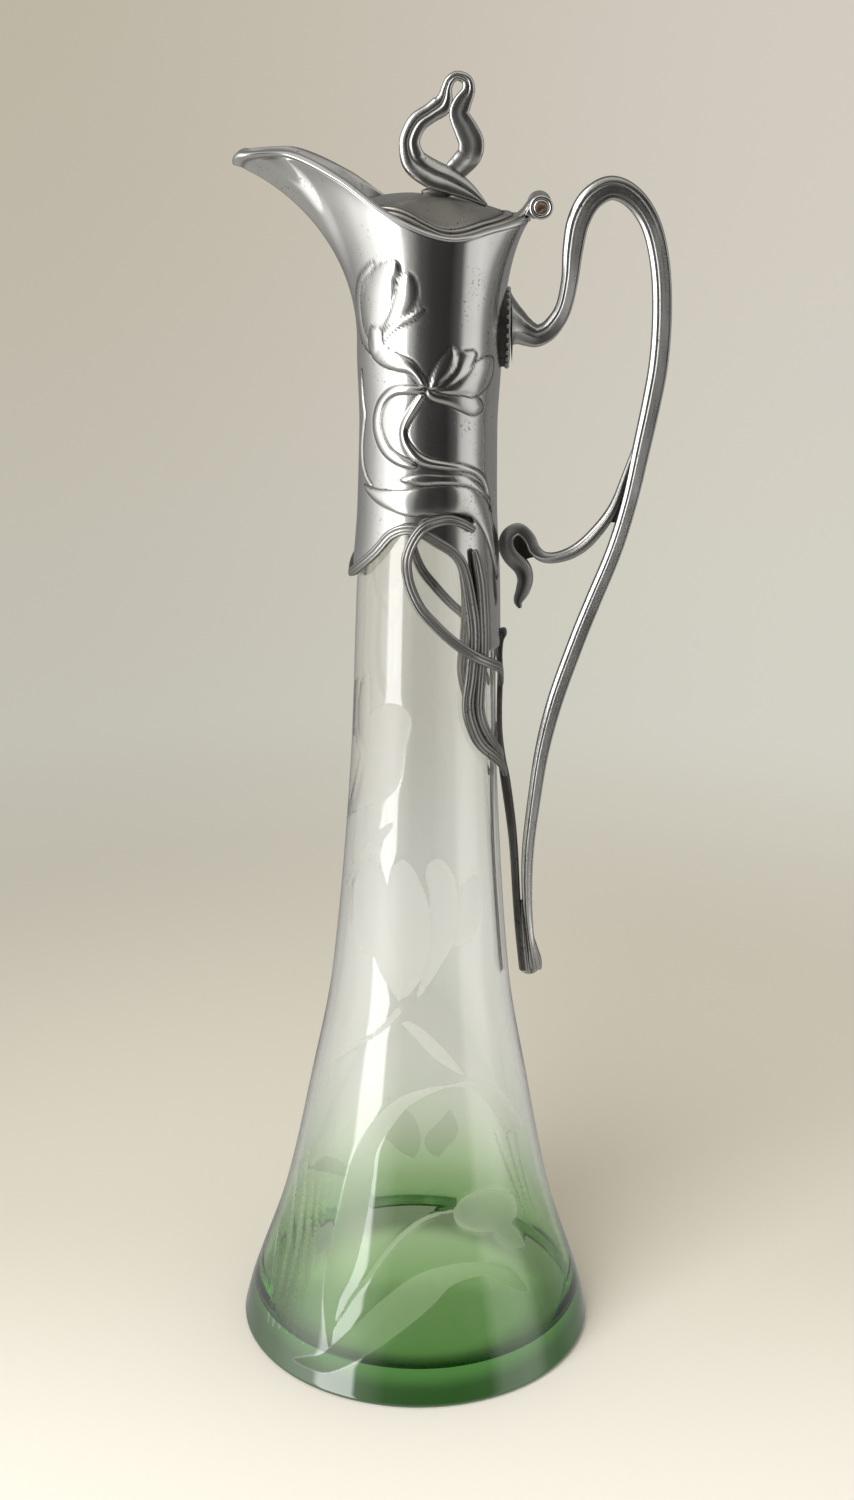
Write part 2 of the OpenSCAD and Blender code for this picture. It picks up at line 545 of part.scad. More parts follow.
// A knot of the tail stands off the slope by its own half width, square to the slope
tail_lean = [-0.35, 1.12];
function tail_knot(q) = let (p = dome(0, q[0], 0), w = finial_w * q[1])
    [p[0] + tail_lean[0] * w, p[2] + tail_lean[1] * w + 2 * film, w, finial_t * (0.5 + 0.5 * q[1])];
module finial() {
    knots = concat([for (q = finial_tail) tail_knot(q)],
        [for (q = finial_loop)
            [q[0] * finial_h / drawn_finial, crest_z + q[1] * finial_h / drawn_finial,
                finial_w * q[2], finial_t * (0.6 + 0.4 * q[2])]]);
    color(silver) sweep(plane_path(knots, 3), 8, 0.4, 0.2);
}

glass_body();
plaster_bedding();
collar();
edge_stem_near();
edge_stem_far();
back_stem_near();
back_stem_far();
loop_tendril_near();
loop_tendril_far();
strut();
handle_plate();
handle_bar();
handle_scroll();
hinge_knuckle_near();
hinge_knuckle_far();
hinge_pin();
lid();
lid_knuckle();
finial();
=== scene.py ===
"""Looks of a lidded glass ewer: cut glass, a silver collar drawn out into a spout, a hinged lid with
an openwork finial, a whiplash handle and stems that hold the neck.

Sizes are millimetres until a mesh is made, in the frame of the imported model: +Z up, the spout towards -X,
the handle towards +X and the near side towards -Y. An angle round the neck starts at the handle and
grows over the near side.
"""

import json
import math

import bmesh
import bpy
import numpy as np
from mathutils import Matrix, Vector


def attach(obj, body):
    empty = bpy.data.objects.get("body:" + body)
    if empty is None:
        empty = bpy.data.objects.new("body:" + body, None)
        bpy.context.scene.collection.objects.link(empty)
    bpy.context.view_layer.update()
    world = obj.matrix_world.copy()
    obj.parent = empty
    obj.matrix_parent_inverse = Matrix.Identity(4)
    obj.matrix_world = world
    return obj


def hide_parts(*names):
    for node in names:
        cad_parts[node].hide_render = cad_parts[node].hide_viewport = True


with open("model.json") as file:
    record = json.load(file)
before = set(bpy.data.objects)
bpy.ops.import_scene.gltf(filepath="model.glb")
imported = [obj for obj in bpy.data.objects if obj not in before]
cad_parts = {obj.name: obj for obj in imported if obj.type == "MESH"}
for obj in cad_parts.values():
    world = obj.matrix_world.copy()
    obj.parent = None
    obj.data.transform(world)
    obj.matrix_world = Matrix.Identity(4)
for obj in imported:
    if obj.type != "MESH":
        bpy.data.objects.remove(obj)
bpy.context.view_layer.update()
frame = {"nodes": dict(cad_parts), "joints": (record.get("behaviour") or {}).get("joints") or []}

MM = 0.001
WELD = 2e-6

# Glass: height and radius of each station, from the foot to the lip inside the collar
GLASS = ((1.6, 57.4), (12, 54.8), (46, 43.7), (90, 34.5), (125, 28.2), (193, 22.7), (255, 20.7),
         (277, 19.3), (330, 18.4))
FOOT_ROUND = GLASS[0][0]
GLASS_TOP = GLASS[-1][0]
WALL = 2.6
FLOOR = 10
FLOOR_ROUND = 3.5

# Collar and spout
MOUNT_Z = 255
GRIP_Z = 300
THROAT_Z = 325
METAL = 0.9
LIP = 1.8
BEAD = 0.35 * LIP
SEAT_GAP = 0.55
THROAT_GAP = 1.65
SIDE_RISE = 31.8
SPOUT_LIFT = 18
BACK_LIFT = 3.6
SPOUT_REACH = 35
BACK_REACH = 7
FLARE_OUT = 0.49
FLARE_UP = (0.5, 0.865)
TINY = 0.004
FILM = 0.2

# Rim: angle on the throat, share of the reach to the spout, share of the reach back, side offset, height
RIM_KNOTS = (
    (0, 0, 1, 0, SIDE_RISE + BACK_LIFT),
    (18, 0, 1, 0.3, SIDE_RISE + BACK_LIFT),
    (45, 0, 0.53, -0.4, SIDE_RISE + 0.55 * BACK_LIFT),
    (78, 0, 0.08, 0.9, SIDE_RISE),
    (112, 0.1, 0, 0.5, SIDE_RISE + 0.32 * SPOUT_LIFT),
    (138, 0.3, 0, 0, SIDE_RISE + 0.83 * SPOUT_LIFT),
    (158, 0.61, 0, 0.2, SIDE_RISE + 1.17 * SPOUT_LIFT),
    (171, 0.93, 0, 2.4, SIDE_RISE + 1.13 * SPOUT_LIFT),
    (180, 1, 0, 0, SIDE_RISE + 0.97 * SPOUT_LIFT),
)
# Lower edge of the collar: angle, height from the front tip
EDGE = ((0, -20), (30, -19.5), (52, -17), (55.5, -4), (64, 10), (84, 16.5), (101, 19.6), (117, 17.8),
        (133, 11), (155, 4.4), (180, 1))
EDGE_KNOTS = tuple((angle, 0, 0, 0, height) for angle, height in EDGE)

# Hinge and lid
HINGE = np.array(frame["joints"][0]["pos_m"]) / MM
PIN = 1.5
KNUCKLE = 3
HINGE_W = 14
LID_KNUCKLE_W = 5.4
KNUCKLE_GAP = 0.25
LID_GAP = 0.4
LID = 1.2
STEP_H = 1.1
STEP_W = 1.2
LID_POINT = 26
LID_DIP = 3.2
CREST_Z = THROAT_Z + SIDE_RISE + 10.2
LID_MIDDLE = np.array([-3, 0, CREST_Z])

# Stems, handle and finial: widest half width and half thickness
STEM = (1.3, 1)
SPREAD = 1.2
STRUT = (1.15, 1.1)
BAR = (3.4, 2.7)
SCROLL = (2.4, 1.9)
FINIAL = (3.4, 1.7)
PLATE_H = 22.5
PLATE_W = 12
PLATE_STAND = 2.2
PLATE_RISE = 74.5
PLATE_Z = MOUNT_Z + PLATE_RISE


# Curves and surfaces

def unit(vectors):
    return vectors / np.linalg.norm(vectors, axis=-1, keepdims=True)


def ease(x, start=0, run=1):
    """Rises smoothly from 0 at a start to 1 after a run."""
    t = np.clip((x - start) / run, 0, 1)
    return t * t * (3 - 2 * t)


def hump(x, place, width):
    """Rises to 1 at a place and falls off over a width to either side."""
    return np.exp(-((x - place) / width) ** 2)


def across_lines(x, lines):
    """Lines that run along a surface, each with its place across it, width and depth or height."""
    return sum(depth * hump(x, place, width) for place, width, depth in lines)


def fuller(y, power):
    """Height of a round section, made fuller towards its edges by a power below 1."""
    return np.sign(y) * np.abs(y) ** power


def curve_at(rows, at):
    """A smooth curve through rows of numbers, at places counted in spans from the second row."""
    i = np.clip(np.floor(at), 0, len(rows) - 4).astype(int)
    t = (at - i)[..., None]
    a, b, c, d = (rows[i + j] for j in range(4))
    return 0.5 * (2 * b + (c - a) * t + (2 * a - 5 * b + 4 * c - d) * t ** 2
                  + (3 * b - a - 3 * c + d) * t ** 3)


def smooth(knots, pieces):
    """A curve from the first knot to the last, with a number of pieces between two of them."""
    rows = np.asarray(knots, float)
    places = np.arange((len(rows) - 1) * pieces + 1) / pieces
    return curve_at(np.vstack([rows[:1], rows, rows[-1:]]), places)


def half_curve(knots, u):
    """A curve over half an outline, from the back (u = 0) to the front (u = 1), mirrored at both ends."""
    rows = np.asarray(knots, float)
    turned = np.array([-1, 1, 1, -1, 1])
    rows = np.vstack([rows[1] * turned, rows, rows[-2] * turned + (360, 0, 0, 0, 0)])
    return curve_at(rows, u * (len(knots) - 1))


def glass_r(z):
    """Radius of the glass at a height, on a smooth curve through its stations."""
    heights, radii = np.array(GLASS, float).T
    index = np.arange(len(GLASS))
    low, high = np.maximum(index - 1, 0), np.minimum(index + 1, len(GLASS) - 1)
    slopes = (radii[high] - radii[low]) / (heights[high] - heights[low])
    z = np.clip(z, heights[0], heights[-1])
    i = np.clip(np.searchsorted(heights, z, side="right") - 1, 0, len(heights) - 2)
    span = heights[i + 1] - heights[i]
    t = (z - heights[i]) / span
    return ((1 - 3 * t ** 2 + 2 * t ** 3) * radii[i] + (3 - 2 * t) * t ** 2 * radii[i + 1]
            + span * t * (1 - t) * ((1 - t) * slopes[i] - t * slopes[i + 1]))


def skin_r(z):
    """Outer radius of the collar's sheet, carried on below it where only the stems follow the neck."""
    gap = SEAT_GAP + (THROAT_GAP - SEAT_GAP) * ease(z, GRIP_Z, THROAT_Z - GRIP_Z)
    return glass_r(z) + METAL + gap


THROAT_R = float(skin_r(THROAT_Z))


def near(angle, z, r):
    """Point at an angle round the neck, on the near side."""
    angle, z, r = np.broadcast_arrays(np.radians(angle), z, r)
    return np.stack([r * np.cos(angle), -r * np.sin(angle), z], axis=-1)


def flare(u, t):
    """Outside of the collar from the throat (t = 0) to the rim (t = 1), over its near half."""
    u, t = np.broadcast_arrays(np.asarray(u, float), np.asarray(t, float))
    angle, spout, back, side, height = np.moveaxis(half_curve(RIM_KNOTS, u), -1, 0)
    out = 3 * (1 - t) * t ** 2 * FLARE_OUT + t ** 3
    up = 3 * (1 - t) ** 2 * t * FLARE_UP[0] + 3 * (1 - t) * t ** 2 * FLARE_UP[1] + t ** 3
    step = [out * (BACK_REACH * back - SPOUT_REACH * spout), -out * side, up * height]
    return near(angle, THROAT_Z, THROAT_R) + np.stack(step, axis=-1)


def flare_along(u, t):
    return unit(flare(u, t + TINY) - flare(u, t - TINY))


def flare_inward(u, t):
    return unit(np.cross(flare(u + TINY, t) - flare(u - TINY, t), flare_along(u, t)))


def flare_inside(u, t, gap=0.0):
    u, t = np.broadcast_arrays(np.asarray(u, float), np.asarray(t, float))
    wall = METAL + (LIP - METAL) * t
    return flare(u, t) + (wall + gap)[..., None] * flare_inward(u, t)


def whole(points_near, columns):
    """The near half of an outline and its mirror image, as one closed row of columns."""
    turn = np.linspace(0, 1, columns + 1)
    points = points_near(1 - np.abs(1 - 2 * turn))
    points[..., 1] *= np.where(turn > 0.5, -1, 1)
    return points


# Making pieces

def shaded(points, hollow):
    """Points with how dark the metal is painted there, as a fourth number: tarnish in its hollows, and on
    some pieces painted shade and painted reflections.
    """
    hollow = np.broadcast_to(hollow, points.shape[:-1])
    return np.concatenate([points, hollow[..., None]], axis=-1)


def lattice(points):
    """A grid bent to rows and columns of shaded points. Points that coincide, as at a seam or a pole,
    are merged."""
    rows, columns = points.shape[:2]
    bm = bmesh.new()
    layer = bm.verts.layers.float.new("hollow")
    bmesh.ops.create_grid(bm, x_segments=columns - 1, y_segments=rows - 1, size=0.5)
    for vert in bm.verts:
        row = round((vert.co.y + 0.5) * (rows - 1))
        column = round((vert.co.x + 0.5) * (columns - 1))
        vert.co = points[row, column, :3] * MM
        vert[layer] = points[row, column, 3]
    bmesh.ops.remove_doubles(bm, verts=bm.verts, dist=WELD)
    bmesh.ops.dissolve_degenerate(bm, edges=bm.edges, dist=WELD / 2)
    return bm


def lathe(profile, steps, turn=Matrix()):
    """A profile of radius and height spun round +Z, then turned to its place, in millimetres."""
    bm = bmesh.new()
    verts = [bm.verts.new((r * MM, 0, z * MM)) for r, z in profile]
    edges = [bm.edges.new(pair) for pair in zip(verts, verts[1:])]
    bmesh.ops.spin(bm, geom=verts + edges, cent=(0, 0, 0), axis=(0, 0, 1), angle=math.tau,
                   steps=steps, use_merge=True)
    bmesh.ops.remove_doubles(bm, verts=bm.verts, dist=WELD)
    bmesh.ops.transform(bm, matrix=turn, verts=bm.verts)
    return bm


def joined(*parts):
    """Several shapes as one."""
    bm = parts[0]
    for part in parts[1:]:
        carrier = bpy.data.meshes.new("carrier")
        part.to_mesh(carrier)
        part.free()
        bm.from_mesh(carrier)
        bpy.data.meshes.remove(carrier)
    return bm


def add_object(name, data):
    item = bpy.data.objects.new(name, data)
    bpy.context.scene.collection.objects.link(item)
    return item


def shape_object(name, bm, finish):
    """Makes an object of a shape and its finish."""
    mesh = bpy.data.meshes.new(name)
    bm.to_mesh(mesh)
    bm.free()
    mesh.materials.append(finish)
    return add_object(name, mesh)


def add_piece(name, bm, finish, body, slot, *nodes):
    """Makes a piece of a shape, which moves with a body and stands for CAD nodes."""
    bmesh.ops.recalc_face_normals(bm, faces=bm.faces)
    piece = shape_object(name, bm, finish)
    piece.data.shade_smooth()
    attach(piece, body)
    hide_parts(*nodes)


# Sweeps: a path has rows of point, reference normal, half width and half thickness

# Rows along a span of a path, rows over a rounded end, and how much a section's columns crowd to its faces
SPAN_ROWS = 12
CAP_ROWS = 7
CROWDING = 0.25
# Length of the rounded ends, as shares of the half width there
ROUND_ENDS = (0.6, 0.6)


def plane_path(knots):
    """A path in the plane of the handle, from knots of x, z, half width and half thickness."""
    x, z, wide, thick = smooth(knots, SPAN_ROWS).T
    still = np.zeros_like(x)
    return np.stack([x, still, z, still, still - 1, still, wide, thick], axis=1)


def neck_path(knots):
    """A path on the neck, from knots of angle, height, lift off the sheet and share of the stem's width."""
    angle, z, lift, share = smooth(knots, SPAN_ROWS).T
    point = near(angle, z, skin_r(z) + lift)
    normal = near(angle, 0 * z, 1 + 0 * z)
    return np.column_stack([point, normal, SPREAD * STEM[0] * share, STEM[1] * np.minimum(1, share)])


def handle_path(knots, half_sizes):
    """A path of the handle, from knots of x outwards from the throat or the glass, height from the
    collar's tip, and shares of the half sizes."""
    x, z, wide, thick = np.array(knots, float).T
    rest = np.where(z > 0, THROAT_R, glass_r(MOUNT_Z + z))
    return plane_path(np.column_stack([x + rest, MOUNT_Z + z, wide * half_sizes[0], thick * half_sizes[1]]))


def grooved_bar(*grooves):
    """Section with grooves on both faces, each given by its place across the bar, width and depth."""
    def section(x, y, along):
        cut = across_lines(x, grooves)
        return x, y * (1 - cut), np.clip(1.6 * cut, 0, 1)
    return section


def sweep(path, section, columns, rows, caps=ROUND_ENDS):
    """Rings of a section along a path, drawn together to rounded ends."""
    steps = np.linalg.norm(np.diff(path[:, :3], axis=0), axis=1)
    length = np.concatenate([[0], np.cumsum(steps)])
    reach = [max(1e-3, cap * path[end, 6]) for cap, end in zip(caps, (0, -1))]
    turn = 1 - np.cos(np.linspace(0, math.pi / 2, CAP_ROWS))
    spots = np.unique(np.concatenate([np.linspace(0, length[-1], rows), reach[0] * turn,
                                      length[-1] - reach[1] * turn]).round(6))
    run = np.stack([np.interp(spots, length, column) for column in path.T], axis=1)
    point, normal, half = run[:, :3], run[:, 3:6], run[:, 6:]
    tangent = unit(np.gradient(point, spots, axis=0))
    side = unit(np.cross(tangent, normal))
    face = np.cross(side, tangent)
    clear = np.minimum(spots / reach[0], (spots[-1] - spots) / reach[1])
    drawn = np.sqrt(1 - np.clip(1 - clear, 0, 1) ** 2)
    angle = np.linspace(0, math.tau, columns + 1)[None, :]
    angle = angle + CROWDING * np.sin(2 * angle)
    x, y, hollow = section(np.cos(angle), np.sin(angle), (spots / spots[-1])[:, None])
    across = (half[:, 0] * drawn)[:, None] * x
    proud = (half[:, 1] * drawn)[:, None] * y
    points = point[:, None] + across[..., None] * side[:, None] + proud[..., None] * face[:, None]
    return shaded(points, hollow)


def swept(path, section, columns, rows, caps=ROUND_ENDS):
    return lattice(sweep(path, section, columns, rows, caps))


# Drawn forms: a ribbon has a spine of angle, height and half width

RIBBON_ROWS = 14
# Distance up to which a ribbon is felt, and what stands for any point beyond it
RIBBON_ROOM = 4
BEYOND = -9.0


def ribbon_distance(angle, z, r, ribbon):
    """How far each point of a round surface lies inside a ribbon, negative outside it, and the half width
    there."""
    spine = smooth(ribbon, RIBBON_ROWS)
    inside = np.full(angle.shape, BEYOND)
    half = np.full(angle.shape, 0.5)
    low, high = spine.min(axis=0), spine.max(axis=0)
    room = RIBBON_ROOM + high[2]
    degrees = np.degrees(room / r)
    close = ((z > low[1] - room) & (z < high[1] + room)
             & (angle > low[0] - degrees) & (angle < high[0] + degrees))
    if close.any():
        across = np.radians(angle[close][:, None] - spine[:, 0]) * r[close][:, None]
        gaps = spine[:, 2] - np.hypot(across, z[close][:, None] - spine[:, 1])
        best = gaps.argmax(axis=1)
        inside[close] = gaps[np.arange(len(best)), best]
        half[close] = np.maximum(0.3, spine[best, 2])
    return inside, half


# Embossed flowers of the collar, from the back to the front: kind, height, ribbon
EMBOSSED = (
    ("cord", 0.7, (
        (158, 318, 0.3), (157.4, 309, 0.9), (155.4, 305.4, 1), (158.1, 301.5, 0.9), (160.6, 295.7, 0.9),
        (158.2, 291, 0.9), (151, 287.4, 0.8), (143, 285.4, 0.5))),
    ("petal", 0.7, (
        (136, 349.5, 0.3), (143, 346.5, 1.2), (149.5, 343.8, 1.7), (154, 341, 2), (157.5, 338, 2.2),
        (159.5, 335, 2.2), (158.5, 332.3, 2.2), (154, 329, 2.4), (146, 326.8, 2.4), (139, 325.2, 2))),
    ("petal", 0.7, (
        (106.4, 346.9, 0.3), (107.5, 345.1, 2.2), (107.9, 342.8, 2.9), (109.3, 340.1, 3.1),
        (113.4, 337.3, 2.8), (119.1, 334.5, 2.5), (126.3, 331.8, 1.6), (130.5, 328.9, 0.7))),
    ("petal", 1.1, (
        (116.3, 350.2, 0.3), (118.8, 348.4, 2.2), (124.4, 346.8, 3), (128.4, 344.3, 4.2),
        (131.9, 341.9, 5.1), (135.6, 339.6, 5.8), (138.5, 337, 5.9), (140.4, 334.4, 5.3), (140.5, 332.2, 4),
        (139, 329.5, 2.5), (135.4, 327, 1.6))),
    ("cord", 0.7, (
        (94.4, 337.3, 0.3), (103, 335.4, 1.1), (110.9, 334, 1.1), (118.9, 332, 1), (125.3, 329.9, 0.9),
        (128.7, 328.3, 0.8))),
    ("cord", 0.9, (
        (136, 329, 2.6), (135.8, 325.6, 3), (126, 323.3, 2.7), (114.9, 322.2, 2.4), (106.8, 321.6, 2),
        (101.6, 320.3, 1.5), (96.5, 318, 1.2), (93.6, 315.9, 1))),
    ("petal", 0.7, (
        (90, 314.4, 1), (85.2, 313.1, 1.4), (73.3, 312.1, 1.7), (61.3, 311.1, 2.5), (50, 309.6, 2.6),
        (43, 308.8, 1))),
    ("petal", 0.9, (
        (83.2, 315, 0.8), (70.2, 315.1, 1.8), (59.9, 316, 3), (50.3, 317, 4.6), (40.9, 319, 4.2),
        (33, 321.5, 1.5))),
    ("petal", 0.8, (
        (84.3, 315.4, 0.8), (75.4, 316.9, 1.4), (67.9, 319.2, 2), (62.8, 321.8, 3), (57, 323.6, 2.2),
        (52, 324.4, 0.6))),
    ("petal", 1.2, (
        (73.3, 326.6, 0.3), (72.6, 325, 1.6), (74, 323.3, 2.6), (76.2, 321.7, 2.9), (78.9, 320.2, 2.7),
        (82.5, 318.4, 2.2), (85.1, 316.6, 1.5), (87.9, 315.6, 0.8))),
    ("cord", 0.8, (
        (96, 314.9, 1.1), (98, 314.8, 1.2), (107.7, 314.7, 1.24), (117.5, 314.1, 1.35),
        (125.5, 312.2, 1.25), (132.4, 309.2, 1.35), (136.4, 305.4, 1.6), (136, 302.1, 1.85),
        (131.2, 298.7, 1.85), (123.2, 295.9, 1.7), (112.4, 294.1, 1.6), (102, 293.2, 1.2))),
    ("cord", 0.9, (
        (95.4, 313, 1), (101.5, 309.5, 1.15), (107.8, 305.7, 1.15), (110.5, 302.7, 1.1),
        (109.1, 299.8, 1.3), (103.9, 297.1, 1.5), (98, 295.2, 1.5), (89, 293.9, 1.3), (74.5, 293, 1.1),
        (58.7, 291.9, 1), (46, 290, 0.9), (37, 287, 0.8), (31, 282.5, 0.7), (26, 277, 0.5))),
    ("cord", 0.6, (
        (110, 288.6, 0.6), (93.7, 289, 1.7), (77.7, 289, 1.5), (60.4, 288.3, 1.5), (47.5, 286.2, 1.3),
        (38, 283.3, 1), (29, 279.5, 0.8))),
    ("petal", 1, (
        (153, 284.6, 0.3), (146, 283.8, 1), (134, 282.8, 1.9), (118, 282.2, 3), (105, 282, 3.7),
        (93, 282.6, 4.2), (80, 282.8, 4.6), (68, 282.8, 4.2), (58, 282.4, 3.8), (49, 281, 3.6),
        (40, 278.5, 3.4), (32, 274.5, 3), (26, 269.5, 2.4), (21, 263, 1.6), (18, 257, 0.6))),
    ("hollow", -0.7, (
        (76, 277.3, 0.3), (68, 277.3, 1), (60, 276.8, 1.3), (54, 276.3, 1.2), (50.5, 275.8, 0.6))),
)


# Share of the rise that the crown of a form takes, and depth of the chased line beside it
CROWNS = {"cord": 0.65, "petal": 0.5}
CHASED = 0.12


def embossing(angle, z, r):
    """Height of the embossed flowers over the sheet, and how dark the metal lies in and beside them."""
    height = np.zeros(angle.shape)
    hollow = np.zeros(angle.shape)
    for kind, rise, ribbon in EMBOSSED:
        inside, half = ribbon_distance(angle, z, r, ribbon)
        if kind == "hollow":
            height += rise * ease(inside, -0.18, 0.6)
            hollow = np.maximum(hollow, ease(inside, -0.3, 0.5))
            continue
        share = np.clip(inside / half, 0, 1)
        crown = CROWNS[kind] * (1 - (1 - share) ** 2)
        line = hump(inside, -0.1, 0.3)
        height = np.where(inside > 0, 0.4 * height + rise * crown, height) - CHASED * line
        hollow = np.where(inside > 0.2, 0.8 * line, np.maximum(hollow, 0.95 * line))
    return height, hollow


# Cut flowers of the glass: matt ribbons, in the angle round the body
LEAVES = (
    ((120, 14.4, 0.6), (123.3, 29.3, 3.2), (122.2, 39.8, 5.2), (120.4, 52.8, 5.4), (118, 69.9, 4.6),
     (115.3, 79.4, 3.3), (108.9, 87.3, 3), (98, 95.2, 2.1), (84.4, 99, 1.2), (72.7, 100, 0.6),
     (60.8, 99.4, 1.5), (49.2, 95.2, 2.8), (39.4, 87.6, 3.6), (33, 81, 2.6), (27, 78, 0.5)),
    ((133, 6.5, 0.6), (127, 8, 2), (120.2, 10.3, 3.2), (110.1, 18.8, 4.7), (99, 28.2, 5.6),
     (87.8, 35.9, 5.4), (79.2, 39.8, 3.7), (70.1, 41, 2.7), (59.5, 40, 2.2), (51.9, 35.8, 2.8),
     (46, 31, 1.5), (43, 28, 0.4)),
    ((103.5, 121.2, 0.5), (92.8, 118.2, 1.8), (77.8, 110.4, 2.2), (63.4, 102.3, 0.4)),
    ((112, 184, 0.4), (119, 180.6, 1.5), (130.1, 175.1, 1.6), (141.9, 169, 1.4), (160, 158, 0.8)),
    ((-152, 42, 0.4), (-140, 39, 3), (-128, 32, 2.6), (-119, 24, 0.5)),
)
STALKS = (
    ((120.4, 20.6, 0.6), (114.5, 31.8, 0.8), (109.3, 38.5, 0.9), (101.8, 48.2, 0.9), (93.5, 55.1, 0.85),
     (84.6, 59.2, 0.8), (70.6, 60.8, 0.6)),
    ((103.5, 124, 1.2), (114.7, 116.7, 0.9), (127.7, 111.1, 0.9), (142.2, 104.5, 0.9), (151.4, 99.6, 0.6)),
    ((-133.2, 42.9, 0.4), (-129.4, 50.1, 0.5), (-123.5, 54.2, 0.5), (-110, 58, 0.5), (-95, 58, 0.5)),
)
PETALS = (
    ((70, 58.5, 2), (66, 59, 5.4), (60, 58.5, 6.8), (54, 57.5, 6.8), (48, 56, 5.4), (44, 54.5, 2)),
    ((52, 50.5, 2.4), (46, 47, 3.2), (41, 43, 1.4)),
    ((127.7, 169.7, 0.4), (131, 163.4, 6.5), (131.4, 155.1, 8), (128, 147.4, 7.4), (116.3, 144.7, 5.4),
     (109, 137.5, 4.6), (103.6, 128, 0.8)),
    ((46.6, 165.1, 0.4), (52.1, 160.3, 4.6), (56, 150.5, 4.4), (66.2, 145, 1)),
    ((78.5, 171.4, 0.4), (79.1, 169.4, 3.6), (74.3, 162.3, 4.6), (74.3, 149.5, 4.4), (80.8, 140.2, 2.6),
     (91.8, 128.5, 0.6)),
    ((104, 172.6, 0.3), (103.7, 167.4, 4.2), (100.7, 159.2, 6.4), (98.9, 153.4, 6.8), (95.1, 145.9, 5.4),
     (93.7, 138.7, 3.5), (98, 131, 1.5), (102, 128, 0.5)),
    ((104.6, 218.4, 0.4), (115.2, 215.2, 6), (126, 208, 8.5), (128.5, 201.3, 9), (133, 197, 8.5),
     (143, 192.5, 6), (160, 184, 2), (175, 178.5, 0.5)),
    ((140.8, 228.1, 0.4), (146, 222.5, 3), (150, 215.5, 4.2), (150, 207, 4)),
    ((158, 226, 0.4), (160, 219, 3), (158, 210, 4)),
    ((-74, 54, 0.4), (-75.5, 46, 4), (-82, 38, 4.4), (-81, 32, 0.6)),
    ((-103, 56, 1), (-99, 46, 6), (-95, 38, 5), (-92, 31, 0.8)),
)
# Grass blades at the foot of the cut flowers: foot angle and height, tip angle and height, half width
BLADES = (
    (150.5, 11, 171, 42, 1.3), (147.3, 11.5, 164, 62, 1.5), (143.6, 12.5, 156, 74, 1.6),
    (139.4, 13, 147, 70, 1.5), (135.6, 13.5, 139.5, 62, 1.3), (131, 13, 141.5, 107, 0.6),
    (-40, 12, -52, 60, 1.4), (-36, 12, -42, 75, 1.4), (-32, 12, -30, 66, 1.3),
)
BLADE_FOOT = 0.3
BLADE_TIP = 0.2
# Depth of the cuts, how far outside their outline they begin, and the run over which they sink
CUT_DEPTH = 0.16
CUT_OUT = 0.5
CUT_RUN = 1.8


def blade_ribbon(foot_angle, foot_z, tip_angle, tip_z, half):
    bow = 0.35 * (tip_angle - foot_angle)
    middle = (foot_angle + bow, (foot_z + tip_z) / 2, half)
    return ((foot_angle, foot_z, BLADE_FOOT), middle, (tip_angle, tip_z, BLADE_TIP))


def cutting(angle, z, r):
    """How far each point of the glass lies inside the cut flowers, and how close to the line of a petal."""
    inside = np.full(angle.shape, BEYOND)
    line = np.zeros(angle.shape)
    for ribbon in LEAVES + STALKS + tuple(blade_ribbon(*blade) for blade in BLADES):
        inside = np.maximum(inside, ribbon_distance(angle, z, r, ribbon)[0])
    for ribbon in PETALS:
        own = ribbon_distance(angle, z, r, ribbon)[0]
        edge = hump(own, 0, 0.45)
        line = np.where(own > 0.4, edge, np.maximum(line, edge))
        inside = np.maximum(inside, own)
    return inside, line


# Finishes

class Wire:
    """A node's output that takes part in arithmetic, which adds Math nodes."""

    def __init__(self, nodes, socket):
        self.nodes = nodes
        self.socket = socket

    def __add__(self, other):
        return self.nodes.math("ADD", self, other)

    def __sub__(self, other):
        return self.nodes.math("SUBTRACT", self, other)

    def __rsub__(self, other):
        return self.nodes.math("SUBTRACT", other, self)

    def __mul__(self, other):
        return self.nodes.math("MULTIPLY", self, other)

    def __truediv__(self, other):
        return self.nodes.math("DIVIDE", self, other)

    __radd__ = __add__
    __rmul__ = __mul__

    def step(self, low, high):
        """Rises smoothly from 0 at low to 1 at high."""
        return self.nodes.node("MapRange", {"interpolation_type": "SMOOTHSTEP"},
                               {"Value": self, "From Min": low, "From Max": high})


